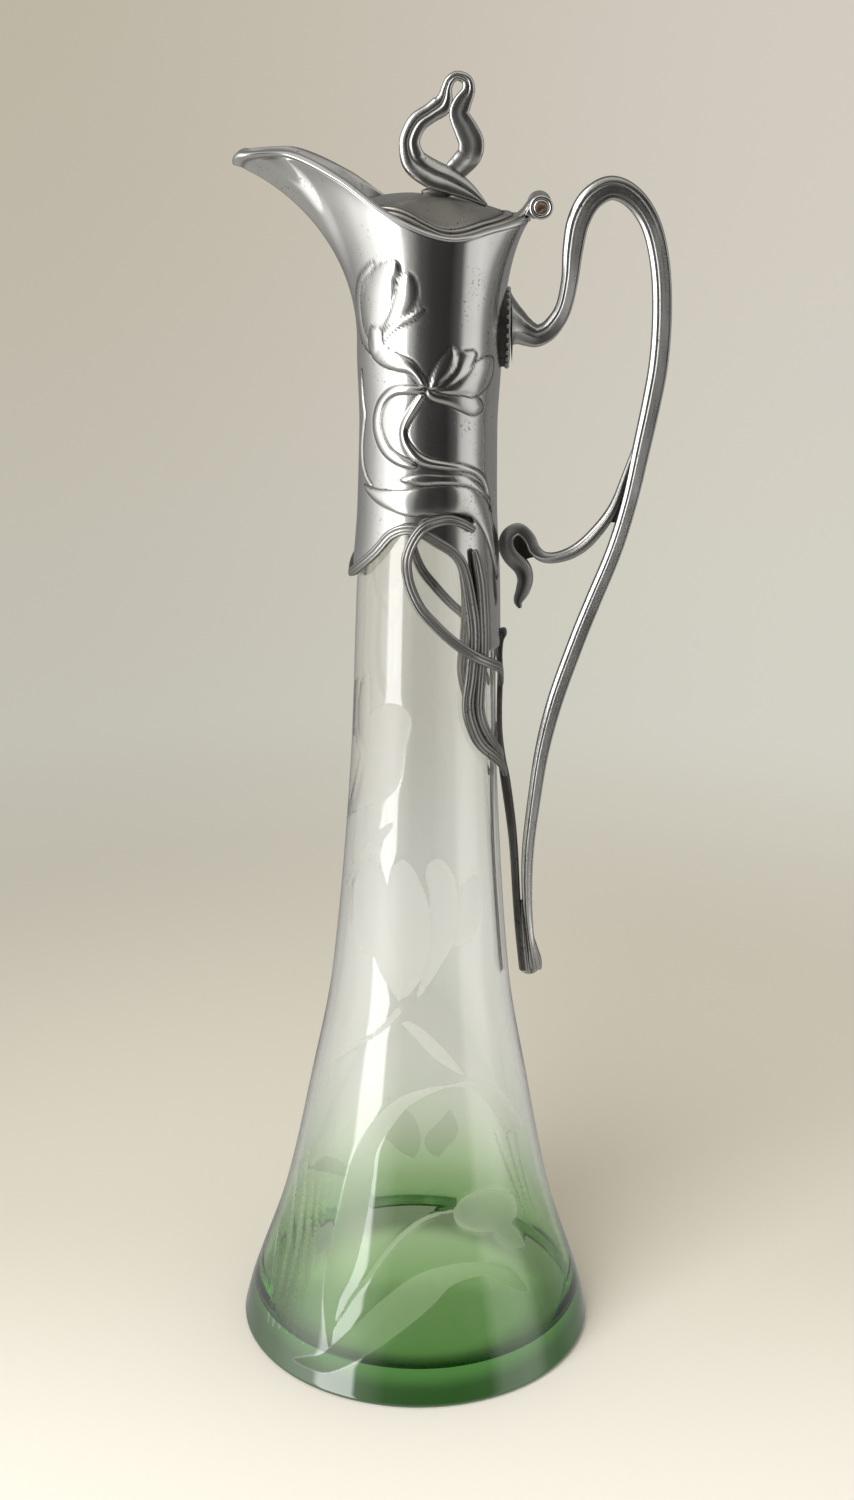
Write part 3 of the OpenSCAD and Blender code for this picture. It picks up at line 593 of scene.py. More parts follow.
class Nodes:
    """The node tree of a finish or of the studio's background."""

    def __init__(self, tree):
        self.tree = tree

    def node(self, kind, settings=None, sockets=None, output=0):
        """Adds a node: its settings first, then the values or links of its sockets. Gives one output."""
        made = self.tree.nodes.new("ShaderNode" + kind)
        for name, value in (settings or {}).items():
            if name == "stops":
                self.set_stops(made.color_ramp, value)
            else:
                setattr(made, name, value)
        self.fill(made, sockets or {})
        return Wire(self, made.outputs[output])

    def fill(self, made, sockets):
        """Links or sets sockets of a node."""
        for key, value in sockets.items():
            if isinstance(value, Wire):
                self.tree.links.new(value.socket, made.inputs[key])
            else:
                made.inputs[key].default_value = value

    def set_stops(self, ramp, stops):
        while len(ramp.elements) < len(stops):
            ramp.elements.new(1)
        for element, (place, colour) in zip(ramp.elements, stops):
            element.position = place
            element.color = colour

    def math(self, operation, first, second):
        return self.node("Math", {"operation": operation}, {0: first, 1: second})

    def mix(self, share, first, second):
        return self.node("Mix", {"data_type": "RGBA"}, {0: share, 6: first, 7: second}, output=2)

    def place(self, stretch=(1, 1, 1)):
        here = self.node("TexCoord", output="Object")
        return self.node("Mapping", {}, {"Vector": here, "Scale": stretch})

    def noise(self, scale, detail=2, stretch=(1, 1, 1)):
        return self.node("TexNoise", {}, {"Vector": self.place(stretch), "Scale": scale, "Detail": detail})

    def mark(self, name):
        return self.node("Attribute", {"attribute_name": name}, output="Fac")

    def axis(self, name, vector):
        return self.node("SeparateXYZ", {}, {0: vector}, output=name)

    def ray(self, kind):
        """1 on a ray of a kind, else 0."""
        return self.node("LightPath", output=f"Is {kind} Ray")

    def bump(self, height, distance, strength=1):
        return self.node("Bump", {}, {"Height": height, "Distance": distance, "Strength": strength})


def new_finish(name, sockets):
    """A material by the name of a finish, its nodes and its shader, with the shader's constant values."""
    material = bpy.data.materials.new(name)
    material.use_nodes = True
    nodes = Nodes(material.node_tree)
    shader = material.node_tree.nodes["Principled BSDF"]
    nodes.fill(shader, sockets)
    return material, nodes, shader


def silver_finish(name, clean, tarnish_and_shade, gloss, age):
    """Silver plate, darkened by its mark in tarnished hollows, and on some pieces by painted shade and
    painted reflections, with tarnished pits and clouds that grow with its age.
    """
    material, nodes, shader = new_finish(name, {"Metallic": 1})
    cloud = nodes.noise(55, 3).step(0.35, 0.75)
    pits = nodes.noise(1300, 1).step(0.63, 0.70) * nodes.noise(120, 2).step(0.48, 0.62)
    rubbed = nodes.noise(260, 4, (1, 1, 0.2)).step(0.3, 0.8)
    dark = nodes.mark("hollow") + pits * (0.35 + 0.4 * age) + cloud * (0.08 + 0.25 * age)
    dark = nodes.node("Clamp", {}, {"Value": dark})
    waves = nodes.noise(35, 2) * 0.00006 + nodes.noise(500, 3) * 0.000003 - pits * 0.00001
    nodes.fill(shader, {
        "Base Color": nodes.mix(dark, clean, tarnish_and_shade),
        "Roughness": gloss + 0.07 * rubbed + 0.06 * cloud + 0.32 * dark,
        "Normal": nodes.bump(waves, 1, 0.6)})
    return material


# Tint of the glass by its height, as a share of the height at which the green has gone
GREEN_TOP = 0.1
# Up to 14.5 mm the green is deepened further, partly the glass's colour and partly painted shade of the
# foot's dark ring
GLASS_TINT = (
    (0.00, (0.004, 0.045, 0.002, 1)), (0.145, (0.01, 0.075, 0.005, 1)), (0.16, (0.11, 0.237, 0.079, 1)),
    (0.175, (0.25, 0.47, 0.18, 1)), (0.21, (0.33, 0.55, 0.25, 1)), (0.33, (0.43, 0.62, 0.34, 1)),
    (0.45, (0.58, 0.73, 0.50, 1)), (0.58, (0.77, 0.85, 0.73, 1)), (0.77, (0.93, 0.95, 0.92, 1)),
    (1.00, (0.98, 0.982, 0.972, 1)))
# What the inside and the far wall add to that share
TINT_RISE = 0.06
GROUND_GLASS = (0.92, 0.95, 0.92, 1)
GROUND_EDGE = (0.62, 0.68, 0.64, 1)


def cut_glass_finish():
    """Clear glass that runs to green at the foot, matt where the flowers are cut."""
    material, nodes, shader = new_finish("cut glass", {"Transmission Weight": 1, "IOR": 1.5, "Coat IOR": 1.7,
                                                       "Coat Roughness": 0.01})
    depth, height = (nodes.axis(name, nodes.place()) for name in "YZ")
    inner = nodes.mark("inner")
    height = height / GREEN_TOP + inner * TINT_RISE + depth.step(-0.01, 0.03) * TINT_RISE
    tint = nodes.node("ValToRGB", {"stops": GLASS_TINT}, {0: height})
    inside = nodes.mark("cut")
    matt = inside.step(-0.1, 0.3)
    outline = inside.step(-0.5, 0) * (1 - inside.step(0, 0.5))
    edge = nodes.math("MAXIMUM", nodes.mark("line"), outline)
    grain = nodes.noise(900, 2)
    waves = nodes.noise(28, 1, (1, 1, 0.4)) * 0.00006 + grain * matt * 0.00002
    relief = nodes.bump(waves, 1, 0.5)
    nodes.fill(shader, {
        "Base Color": nodes.mix(edge * 0.16, tint, GROUND_EDGE),
        "Roughness": matt * (0.26 + 0.16 * grain) + 0.004,
        "Coat Weight": (1 - matt) * (1 - inner),
        "Normal": relief})
    ground = nodes.mix(0.35, tint, GROUND_GLASS)
    frost = nodes.node("BsdfPrincipled", {}, {"Base Color": ground, "Roughness": 0.6, "Normal": relief})
    cloudy = matt * (0.06 + 0.12 * grain)
    surface = nodes.node("MixShader", {}, {0: cloudy, 1: Wire(nodes, shader.outputs[0]), 2: frost})
    nodes.fill(material.node_tree.nodes["Material Output"], {"Surface": surface})
    return material


def plaster_finish():
    """Matt cast plaster with fine pores."""
    material, nodes, shader = new_finish("bedding plaster", {"Roughness": 0.9})
    pores = nodes.noise(900, 3).step(0.55, 0.75)
    nodes.fill(shader, {
        "Base Color": nodes.mix(pores, (0.82, 0.79, 0.72, 1), (0.6, 0.57, 0.5, 1)),
        "Normal": nodes.bump(pores, -0.0001)})
    return material


def pin_finish():
    """Worn dark pin metal, turned, with rust in its grain."""
    material, nodes, shader = new_finish("pin metal", {"Metallic": 0.9})
    grain = nodes.noise(700, 4).step(0.35, 0.7)
    nodes.fill(shader, {
        "Base Color": nodes.mix(grain, (0.20, 0.12, 0.085, 1), (0.34, 0.25, 0.18, 1)),
        "Roughness": 0.35 + 0.25 * grain,
        "Normal": nodes.bump(grain, 0.00008)})
    return material


# Finishes by colour when clean and when darkened by tarnish and painted shade, roughness and age
SILVER = silver_finish("silver plate", (0.68, 0.675, 0.66, 1), (0.05, 0.043, 0.037, 1), 0.08, 0.1)
RUBBED_SILVER = silver_finish("rubbed silver", (0.60, 0.595, 0.58, 1), (0.045, 0.04, 0.035, 1), 0.2, 0.2)
LID_SILVER = silver_finish("lid silver", (0.56, 0.545, 0.51, 1), (0.05, 0.044, 0.038, 1), 0.24, 0.25)
AGED_SILVER = silver_finish("aged silver", (0.47, 0.46, 0.445, 1), (0.035, 0.032, 0.029, 1), 0.27, 0.4)
CUT_GLASS = cut_glass_finish()


# Glass body

GLASS_COLUMNS = 352
# Heights between which the outside has a number of rows, and rows of the inside
WALL_ROWS = ((FOOT_ROUND, 112, 112), (112, 236, 64), (236, GLASS_TOP, 14))
CAVITY_ROWS = 40
# Points of the arcs at the foot and at the floor's corner
FOOT_POINTS = 6
CORNER_POINTS = 9
# Shares of the radius at which the bottom and the floor have rings
BOTTOM_RINGS = (0, 0.3, 0.6, 0.85)
FLOOR_RINGS = (0.8, 0.5, 0.2, 0)
# Depth of the band that counts as the outside of the wall
SKIN = 0.5


def glass_body():
    foot_r = GLASS[0][1]
    floor_top = FLOOR + FLOOR_ROUND
    floor_r = float(glass_r(floor_top)) - WALL - FLOOR_ROUND
    foot = [(foot_r + FOOT_ROUND * (math.cos(a) - 1), FOOT_ROUND * (1 + math.sin(a)))
            for a in np.radians(np.linspace(-90, 0, FOOT_POINTS))]
    heights = np.concatenate([np.linspace(low, high, rows)[1:] for low, high, rows in WALL_ROWS])
    outside = [(float(glass_r(z)), z) for z in heights]
    inside = [(float(glass_r(z)) - WALL, z) for z in np.linspace(GLASS_TOP, floor_top, CAVITY_ROWS)]
    round_in = [(floor_r + FLOOR_ROUND * math.cos(a), floor_top + FLOOR_ROUND * math.sin(a))
                for a in np.radians(np.linspace(0, -90, CORNER_POINTS))[1:]]
    bottom = [(share * foot_r, 0) for share in BOTTOM_RINGS]
    floor_rings = [(share * floor_r, FLOOR) for share in FLOOR_RINGS]
    bm = lathe(bottom + foot + outside + inside + round_in + floor_rings, GLASS_COLUMNS)
    layers = [bm.verts.layers.float.new(name) for name in ("cut", "line", "inner")]
    verts = list(bm.verts)
    x, y, z = (np.array([v.co for v in verts]) / MM).T
    r = np.maximum(np.hypot(x, y), 1)
    depth, line = cutting(np.degrees(np.arctan2(-y, x)), z, r)
    wall = (r > glass_r(z) - SKIN) & (z > FOOT_ROUND)
    inner = (r < glass_r(z) - SKIN) & (z > 1)
    marks = np.stack([np.where(wall, depth, BEYOND), np.where(wall, line, 0), inner], axis=1)
    sunk = np.where(wall, CUT_DEPTH * ease(depth, -CUT_OUT, CUT_RUN) / r, 0)
    for vert, values, share in zip(verts, marks, sunk):
        for layer, value in zip(layers, values):
            vert[layer] = value
        vert.co.x *= 1 - share
        vert.co.y *= 1 - share
    add_piece("cut_glass_body", bm, CUT_GLASS, "ewer", "glass", "glass_body")


# Collar with its spout

COLLAR_COLUMNS = 320
SHEET_ROWS = 165
FLARE_ROWS = 64
LIP_ROWS = 7
INNER_ROWS = 24
INNER_SHADE = 0.25
# Place of the groove under the rim, as a share of the flare
RIM_GROOVE = 0.955
# The fine bead along the top of the rim and the groove: place on the flare, width and height
RIM_MOULDING = ((1, 0.022, 0.22), (RIM_GROOVE, 0.012, -0.14))


def collar_sheet(u, s, depth):
    """Point of the sheet between the lower edge (s = 0) and the throat (s = 1), at a depth in the metal."""
    edge = half_curve(EDGE_KNOTS, u)
    top = half_curve(RIM_KNOTS, u)[..., 0]
    angle = edge[..., 0] + s * (top - edge[..., 0])
    low = MOUNT_Z + edge[..., 4]
    z = low + s * (THROAT_Z - low)
    return near(angle, z, skin_r(z) - depth)


def collar():
    def outside(u):
        s = np.linspace(0, 1, SHEET_ROWS, endpoint=False)[:, None]
        t = np.linspace(0, 1, FLARE_ROWS)[:, None]
        sheet = collar_sheet(u[None], s, 0)
        cone = flare(u[None], t)
        points = np.concatenate([sheet, cone])
        outward = np.concatenate([unit(sheet * (1, 1, 0)), -flare_inward(u[None] + 0 * t, t + 0 * u[None])])
        x, y, z = np.moveaxis(points, -1, 0)
        rise, hollow = embossing(np.degrees(np.arctan2(-y, x)), z, np.hypot(x, y))
        moulding = np.concatenate([0 * s, across_lines(t, RIM_MOULDING)])
        groove = np.concatenate([0 * s, 0.6 * hump(t, RIM_GROOVE, 0.01)])
        edge_fade = np.concatenate([ease(s, 0, 0.03), 1 + 0 * t])
        points += (rise * edge_fade + moulding)[..., None] * outward
        return shaded(points, np.maximum(hollow * edge_fade, groove))

    def lip(u):
        turn = np.linspace(0, math.pi, LIP_ROWS + 2)[1:-1, None, None]
        return shaded(flare(u, 1) + LIP / 2 * (1 - np.cos(turn)) * flare_inward(u, 1)
                      + BEAD * np.sin(turn) * flare_along(u, 1), 0)

    def inside(u):
        t = np.linspace(1, 0, INNER_ROWS)[:, None]
        s = np.linspace(1, 0, INNER_ROWS)[1:, None]
        points = np.concatenate([flare_inside(u[None], t), collar_sheet(u[None], s, METAL)])
        return shaded(points, INNER_SHADE)

    rows = [whole(part, COLLAR_COLUMNS) for part in (outside, lip, inside)]
    bm = lattice(np.concatenate(rows + [rows[0][:1]]))
    add_piece("silver_collar", bm, SILVER, "ewer", "silver_plate", "collar")


# Stems on the neck, as knots of angle, height from the collar's tip, lift off the sheet and share of width

ON_SHEET = STEM[1] + FILM
BELOW = ON_SHEET - METAL
OVER = ON_SHEET + 2 * STEM[1] + FILM
TIP_ANGLE = 177.5
TIP_SHARE = 0.55
END_SHARE = 0.7


def meet(dz):
    """Angle at which a stem's thin end lies beside the strut."""
    reach = STRUT[1] + FILM + END_SHARE * STEM[0]
    return math.degrees(math.asin(reach / (float(skin_r(MOUNT_Z + dz)) + ON_SHEET)))


EDGE_STEM = (
    [(TIP_ANGLE, EDGE[-1][1], TIP_SHARE * STEM[1] + FILM, TIP_SHARE)]
    + [(angle, dz, ON_SHEET, 1) for angle, dz in reversed(EDGE[4:-1])]
    + [(55.5, -4, ON_SHEET, 1.3), (53, -14, ON_SHEET, 1.35), (53.5, -25, BELOW, 1.3),
       (56.5, -34, BELOW, 1.25), (52.5, -41, BELOW, 1.25), (43.5, -47.5, BELOW, 1.15),
       (26, -54, ON_SHEET, 0.95), (meet(-62), -62, ON_SHEET, END_SHARE)])
BACK_STEM = (
    (52, 13, ON_SHEET, 0.6), (49, 8.5, ON_SHEET, 1.1), (46, 2, ON_SHEET, 1.4), (44.2, -7, ON_SHEET, 1.45),
    (43.4, -17, ON_SHEET, 1.4), (44, -26, BELOW, 1.32), (45.6, -36, BELOW, 1.22), (39.5, -43, BELOW, 1.1),
    (28, -49, BELOW, 0.9), (13, -53.5, BELOW, 0.75), (meet(-57), -57, BELOW, END_SHARE))
LOOP = (
    (51, 18.5, ON_SHEET, 0.7), (64, 21.5, ON_SHEET, 0.9), (78, 22.5, ON_SHEET, 1), (93, 20.5, OVER, 1),
    (102.5, 13, OVER, 1), (103, 5, ON_SHEET, 1), (95, -3, BELOW, 1), (82, -9, BELOW, 1),
    (69, -14, ON_SHEET, 1), (55, -18.5, OVER, 1), (38, -22.5, OVER, 1), (20, -26.5, ON_SHEET, 0.9),
    (meet(-33), -33, BELOW, END_SHARE))
# Grooves of a stem, and the stems by name, knots and rows
STEM_LINES = ((-0.34, 0.12, 0.42), (0.42, 0.1, 0.38))
STEM_COLUMNS = 48
STEM_ROWS = (("edge_stem", EDGE_STEM, 260), ("back_stem", BACK_STEM, 170), ("loop_tendril", LOOP, 240))


def stem_section(x, y, along):
    """Three ridges on a flattened stem, dark between them and along the edges."""
    cut = across_lines(x, STEM_LINES)
    edge = 0.45 * ease(np.abs(x), 0.74, 0.24)
    return x, fuller(y, 0.65) * (1 - cut), np.clip(0.05 + edge + 1.3 * cut, 0, 0.9)


def stems():
    for name, knots, rows in STEM_ROWS:
        path = neck_path([(angle, MOUNT_Z + dz, lift, share) for angle, dz, lift, share in knots])
        points = sweep(path, stem_section, STEM_COLUMNS, rows)
        for side, turn in (("near", 1), ("far", -1)):
            bm = lattice(points * (1, turn, 1, 1))
            add_piece(f"silver_{name}_{side}", bm, AGED_SILVER, "ewer", "aged_silver", f"{name}_{side}")


# Strut and handle, as knots of x outwards, height from the collar's tip, share of width and of thickness

STRUT_KNOTS = (
    (2.2, -15.6, 0.75, 0.8), (2.3, -17.4, 1, 1), (1.7, -19.6, 0.7, 0.8), (1.4, -24, 0.6, 0.8),
    (1.4, -31, 0.75, 0.9), (1.1, -42, 0.75, 0.9), (1.2, -50, 0.8, 0.9),
    (1.7, -58, 1.1, 1), (2.6, -65, 1.3, 1.1), (3.8, -78, 1.25, 1.2), (4.3, -89, 1.15, 1.4),
    (4.3, -105, 1.1, 1.6), (4.5, -117, 1.2, 1.9), (4.8, -129.5, 1.25, 1.9))
STRUT_SHADE = 0.6
ROOT_X = PLATE_STAND + FILM
ROOT = 0.49 * PLATE_H / BAR[0]
BAR_KNOTS = (
    (ROOT_X, PLATE_RISE, ROOT, 2.1), (ROOT_X + 0.9, PLATE_RISE, 0.68 * ROOT, 1.8),
    (ROOT_X + 1.9, 74.3, 0.5 * ROOT, 1.55), (ROOT_X + 3.4, 73.7, 0.39 * ROOT, 1.3), (7.8, 72.8, 1.08, 1.15),
    (10.2, 72.4, 0.96, 1.1), (13.7, 74.4, 0.82, 1), (17.2, 80, 0.7, 1), (18.9, 88.4, 0.73, 1),
    (19.5, 97, 0.87, 1), (20.8, 105, 0.96, 1), (24.2, 111.3, 1, 1), (30, 114.3, 1, 1),
    (36.4, 111.4, 0.93, 1), (41.6, 104, 0.86, 1), (44.6, 93, 0.84, 1), (45.8, 80, 0.84, 1),
    (45.6, 66, 0.83, 1), (44.1, 54, 0.81, 1), (41.7, 40, 0.77, 1), (38.9, 24.2, 0.7, 0.95),
    (35, 9, 0.69, 0.9), (29.3, -7, 0.71, 0.85), (24.4, -20, 0.72, 0.8), (18.2, -38.6, 0.71, 0.8),
    (14.1, -55, 0.65, 0.8), (11.1, -72, 0.59, 0.8), (8.6, -89, 0.55, 0.85), (7.6, -105, 0.47, 0.9),
    (7.7, -117, 0.39, 1), (8.1, -121.5, 0.5, 1), (8.6, -126, 0.65, 1), (8.7, -129, 0.56, 0.9))
SCROLL_KNOTS = (
    (40.4, 43, 0.12, 0.5), (38.7, 36.5, 0.3, 0.6), (36.8, 30, 0.42, 0.7), (35, 24, 0.54, 0.85),
    (33, 19.6, 0.66, 1), (30.2, 15.4, 0.75, 1), (26.4, 11, 0.8, 1), (22.3, 8, 0.76, 1), (17.8, 6.4, 0.68, 1),
    (14, 6.5, 0.68, 1), (11.2, 8.7, 0.74, 1), (9.4, 12.4, 0.75, 0.95), (6.4, 14.9, 0.76, 0.9),
    (3.5, 13.3, 0.88, 0.85), (2.7, 9.9, 1, 0.85), (4.4, 6.5, 1.08, 0.9), (7.6, 3.2, 1.1, 0.95),
    (9, -0.4, 1, 0.9), (8.2, -4, 0.88, 0.8), (6.9, -7.2, 0.6, 0.7), (7.5, -9.5, 0.2, 0.4))
# Heel in which the strut and the bar end, with half sizes in millimetres
HEEL = (1, 1)
HEEL_KNOTS = ((6, -105, 0.5, 0.8), (6.1, -111, 1.5, 1.4), (6.3, -117, 2.1, 1.8), (6.6, -123, 2.6, 2.1),
              (6.8, -128, 2.9, 2.1), (6.9, -130.6, 2.5, 1.9))
# Thin webs of the casting, as pairs of x and height: in the eye of the scroll's hook, and in the fork
HOOK_WEB = (((6.4, 14.4), (6.2, 14.4)), ((9, 12.4), (4.2, 13)), ((10.2, 10), (3.8, 10)),
            ((11, 8.2), (5, 6.8)), ((11, 6.6), (6.6, 5)))
FORK_WEB = (((38.9, 36), (40.6, 36)), ((37, 31), (39.6, 31)), ((36, 28), (39.2, 28)),
            ((34.6, 23.5), (38.2, 23.5)), ((33.2, 20), (37.4, 20)), ((32.8, 18.8), (37, 18.4)),
            ((33.4, 17.6), (36.6, 17.2)))
WEB_COLUMNS = 9
WEB_SHADE = 0.92
# Front face of the bar, from one edge to the other: place across it and height
BAR_FACE = ((-1, 0), (-0.97, 0.4), (-0.92, 0.56), (-0.54, 0.8), (-0.46, 0.76), (-0.38, 0.66), (-0.3, 0.74),
            (-0.2, 0.78), (0.72, 0.96), (0.88, 0.9), (0.97, 0.55), (1, 0))
# Dark lines along it, painted: across the bar they stand for dark reflections of the room, along its edges
# for shade
BAR_PAINTED_LINES = ((-0.39, 0.1, 0.95), (0.08, 0.1, 0.35), (-0.98, 0.06, 0.5), (0.97, 0.07, 0.35))


def bar_section(x, y, along):
    """Fluted where it spreads over the plate, then a ridge, a groove and a flat face, which change sides
    over the arch."""
    root = 1 - ease(along, 0, 0.055)
    turned = ease(along, 0.14, 0.12)
    flute = np.abs(np.sin(4 * np.arctan2(y, x))) * root

    def both(face):
        return (1 - turned) * face(x) + turned * face(-x)

    height = both(lambda across: np.interp(across, *np.array(BAR_FACE).T))
    # Painted dark reflections across the bar and painted shade along its edges
    line = both(lambda across: across_lines(across, BAR_PAINTED_LINES))
    height = root * np.abs(y) + (1 - root) * height
    slim = 1 - 0.1 * flute
    return x * slim, np.sign(y) * height * slim, np.clip((1 - root) * line + 0.5 * flute, 0, 0.9)


def scroll_section(x, y, along):
    """A branch with a bright line over an underside painted dark as shade and an upper face painted a little
    darker, the inner rim of the hook and tail further on.
    """
    hook = ease(along, 0.5, 0.1)
    tail = ease(along, 0.8, 0.08)
    fork = 1 - ease(along, 0.22, 0.15)
    ridge = 0.2 - hook + 0.1 * tail
    bright = hump(x, ridge, 0.12)
    dish = tail * hump(x, 0.2, 0.5)
    fall = hook * (1 - tail) * np.clip((x - ridge) / 1.8, 0, 1)
    # Painted shade: the branch is darkened below its ridge, less above it, and the bright line along the
    # ridge is left clean
    under = 1 / (1 + np.exp(16 * (x - ridge + 0.2)))
    upper = 1 / (1 + np.exp(16 * (ridge + 0.2 - x)))
    edge = 0.4 * ease(np.abs(x), 0.9, 0.1)
    height = fuller(y, 0.6) * (0.76 + 0.24 * bright - 0.5 * fall - 0.35 * dish)
    dark = 0.08 + (1 - hook) * (0.15 + 0.55 * fork) * under + (1 - hook) * 0.3 * fork * upper
    dark = (dark + 0.75 * dish + 0.2 * fall) * (1 - bright) + edge * (1 - bright)
    return x, height, np.clip(dark, 0, 0.9)


def web(pairs):
    """A thin plate between two curves of the casting, in the plane of the handle, closed at its ends."""
    knots = [[q for dx, dz in pair for q in (dx + THROAT_R, MOUNT_Z + dz)] for pair in pairs]
    x0, z0, x1, z1 = smooth(knots, 6).T
    across = np.linspace(0, 1, WEB_COLUMNS)
    half = 0.35 + 0.5 * (2 * across - 1) ** 2
    share = np.concatenate([across, across[::-1], across[:1]])
    y = np.concatenate([half, -half[::-1], half[:1]])
    x, z = (start[:, None] + share * (stop - start)[:, None] for start, stop in ((x0, x1), (z0, z1)))
    points = np.stack([x, np.broadcast_to(y, x.shape), z], axis=-1)
    ends = [np.broadcast_to(row.mean(axis=0), row.shape)[None] for row in points[[0, -1]]]
    points = np.concatenate([ends[0], points, ends[1]])
    return lattice(shaded(points, WEB_SHADE))


def strut():
    path = handle_path(STRUT_KNOTS, STRUT)
    points = sweep(path, grooved_bar((0.1, 0.25, 0.25)), columns=32, rows=160)
    points[..., 3] = np.maximum(points[..., 3], STRUT_SHADE)
    add_piece("silver_strut", lattice(points), AGED_SILVER, "ewer", "aged_silver", "strut")


def handle():
    bar = swept(handle_path(BAR_KNOTS, BAR), bar_section, columns=96, rows=860, caps=(0.02, 0.5))
    heel = swept(handle_path(HEEL_KNOTS, HEEL), grooved_bar((-0.1, 0.16, 0.35)), columns=40, rows=60)
    add_piece("silver_bar", joined(bar, heel), RUBBED_SILVER, "ewer", "silver_plate", "handle_bar")
    scroll = swept(handle_path(SCROLL_KNOTS, SCROLL), scroll_section, columns=64, rows=320)
    bm = joined(scroll, web(HOOK_WEB), web(FORK_WEB))
    add_piece("silver_scroll", bm, RUBBED_SILVER, "ewer", "silver_plate", "handle_scroll")


PLATE_SIDES = 64
PLATE_SINK = 0.3
SEAT_SHADE = 0.75
# Rows of the plate from its edge inwards: share of its outline, height over its face and how hollow it lies
PLATE_STEPS = ((1, -0.7, SEAT_SHADE), (0.985, -0.35, 0), (0.94, -0.1, 0), (0.88, 0, 0), (0.84, -0.3, 0.7),
               (0.6, -0.3, 0.7), (0, -0.3, 0.7))
# Beads along the edge: their number, radius, depth behind the face and share of the plate's outline
BEADS = 26
BEAD_R = 0.72
BEAD_BACK = 0.75
BEAD_SHARE = 0.99


def handle_plate():
    """Oval plate whose back follows the collar, with a row of beads along its edge."""
    turn = np.linspace(0, math.tau, PLATE_SIDES + 1)
    y = PLATE_W / 2 * np.cos(turn)
    z = PLATE_Z + PLATE_H / 2 * np.sin(turn)
    profile = flare(0, np.linspace(0, 0.6, 40))
    collar_x = np.interp(z, profile[:, 2], profile[:, 0])
    seat = np.sqrt(np.maximum(collar_x ** 2 - y ** 2, 1)) - PLATE_SINK
    face = THROAT_R + PLATE_STAND
    rows = [shaded(np.stack([seat, y, z], axis=1), SEAT_SHADE)]
    for share, lift, shade in PLATE_STEPS:
        ring = np.stack([0 * y + face + lift, share * y, PLATE_Z + share * (z - PLATE_Z)], axis=1)
        rows.append(shaded(ring, shade))
    bm = lattice(np.stack(rows))
    for angle in math.tau * (np.arange(BEADS) + 0.5) / BEADS:
        spot = Vector((face - BEAD_BACK, BEAD_SHARE * PLATE_W / 2 * math.cos(angle),
                       PLATE_Z + BEAD_SHARE * PLATE_H / 2 * math.sin(angle)))
        bmesh.ops.create_uvsphere(bm, u_segments=10, v_segments=6, radius=BEAD_R * MM,
                                  matrix=Matrix.Translation(spot * MM))
    add_piece("beaded_plate", bm, AGED_SILVER, "ewer", "silver_plate", "handle_plate")


# Hinge

CHAMFER = 0.3
# Turned ends of a knuckle and of its bore, as steps from their radius and from its width
PLAIN_END = ((0, -CHAMFER), (-CHAMFER, 0))
PLAIN_BORE = ((0, 0),)
RINGED_END = ((0, -1.5), (0.4, -1.2), (0.4, -0.35), (0.2, -0.05), (-0.3, 0), (-0.55, -0.05), (-0.7, -0.35),
              (-0.9, -0.35), (-1.05, -0.05))
RINGED_BORE = ((0.1, -0.02), (0, -0.12))
PIN_PLAY = 0.05
# Outline of a lug beside the hinge, in x and z, as shares of the knuckle's radius
LUG = ((0.3, -0.95), (-0.75, 0.66), (-1.2, -0.05), (-1.5, -0.75))
LUG_SHORT = 0.3
LUG_BEVEL = 0.18


def barrel(start, width, ringed):
    """A knuckle round the hinge pin, from a start along +Y, plain or with a ring turned on its outer end."""
    inner = PIN + PIN_PLAY
    end, bore = (RINGED_END, RINGED_BORE) if ringed else (PLAIN_END, PLAIN_BORE)
    profile = [(inner, 0), (KNUCKLE - CHAMFER, 0), (KNUCKLE, CHAMFER)]
    profile += [(KNUCKLE + dr, width + dy) for dr, dy in end]
    profile += [(inner + dr, width + dy) for dr, dy in bore]
    place = Matrix.Translation(Vector((HINGE[0], start, HINGE[2])) * MM)
    return lathe(profile + profile[:1], steps=48, turn=place @ Matrix.Rotation(-math.pi / 2, 4, "X"))


def collar_knuckle(side):
    """The collar's knuckle and the lug that carries it on the rim's back edge."""
    start = LID_KNUCKLE_W / 2 + KNUCKLE_GAP
    width = (HINGE_W - LID_KNUCKLE_W) / 2 - KNUCKLE_GAP
    lift = flare_along(0.0, 1.0) * (BEAD + FILM)
    feet = (flare_inside(0.0, 1.0) + lift, flare(0.0, 1.0) + lift)
    outline = [(foot[0], foot[2]) for foot in feet]
    outline += [(HINGE[0] + dx * KNUCKLE, HINGE[2] + dz * KNUCKLE) for dx, dz in LUG]
    lug = bmesh.new()
    face = lug.faces.new([lug.verts.new((x * MM, start * MM, z * MM)) for x, z in outline])
    made = bmesh.ops.extrude_face_region(lug, geom=[face])["geom"]
    moved = [g for g in made if isinstance(g, bmesh.types.BMVert)]
    bmesh.ops.translate(lug, verts=moved, vec=(0, (width - LUG_SHORT) * MM, 0))
    bmesh.ops.bevel(lug, geom=lug.edges[:], offset=LUG_BEVEL * MM, offset_type="OFFSET", segments=2,
                    profile=0.5, affect="EDGES", material=-1)
    bm = joined(barrel(start, width, True), lug)
    if side == "near":
        bmesh.ops.scale(bm, vec=(1, -1, 1), verts=bm.verts)
    add_piece(f"ringed_knuckle_{side}", bm, SILVER, "ewer", "silver_plate", f"hinge_knuckle_{side}")


# Lid

LID_COLUMNS = 160
DOME_ROWS = 26
# Knot of the rim at which the lid leaves it for its point, and share of the edge over which its back runs
LID_FRONT = 4
BACK_END = 0.42
# Share of the flare at which the lid lies in the rim
LID_SEAT = 0.95
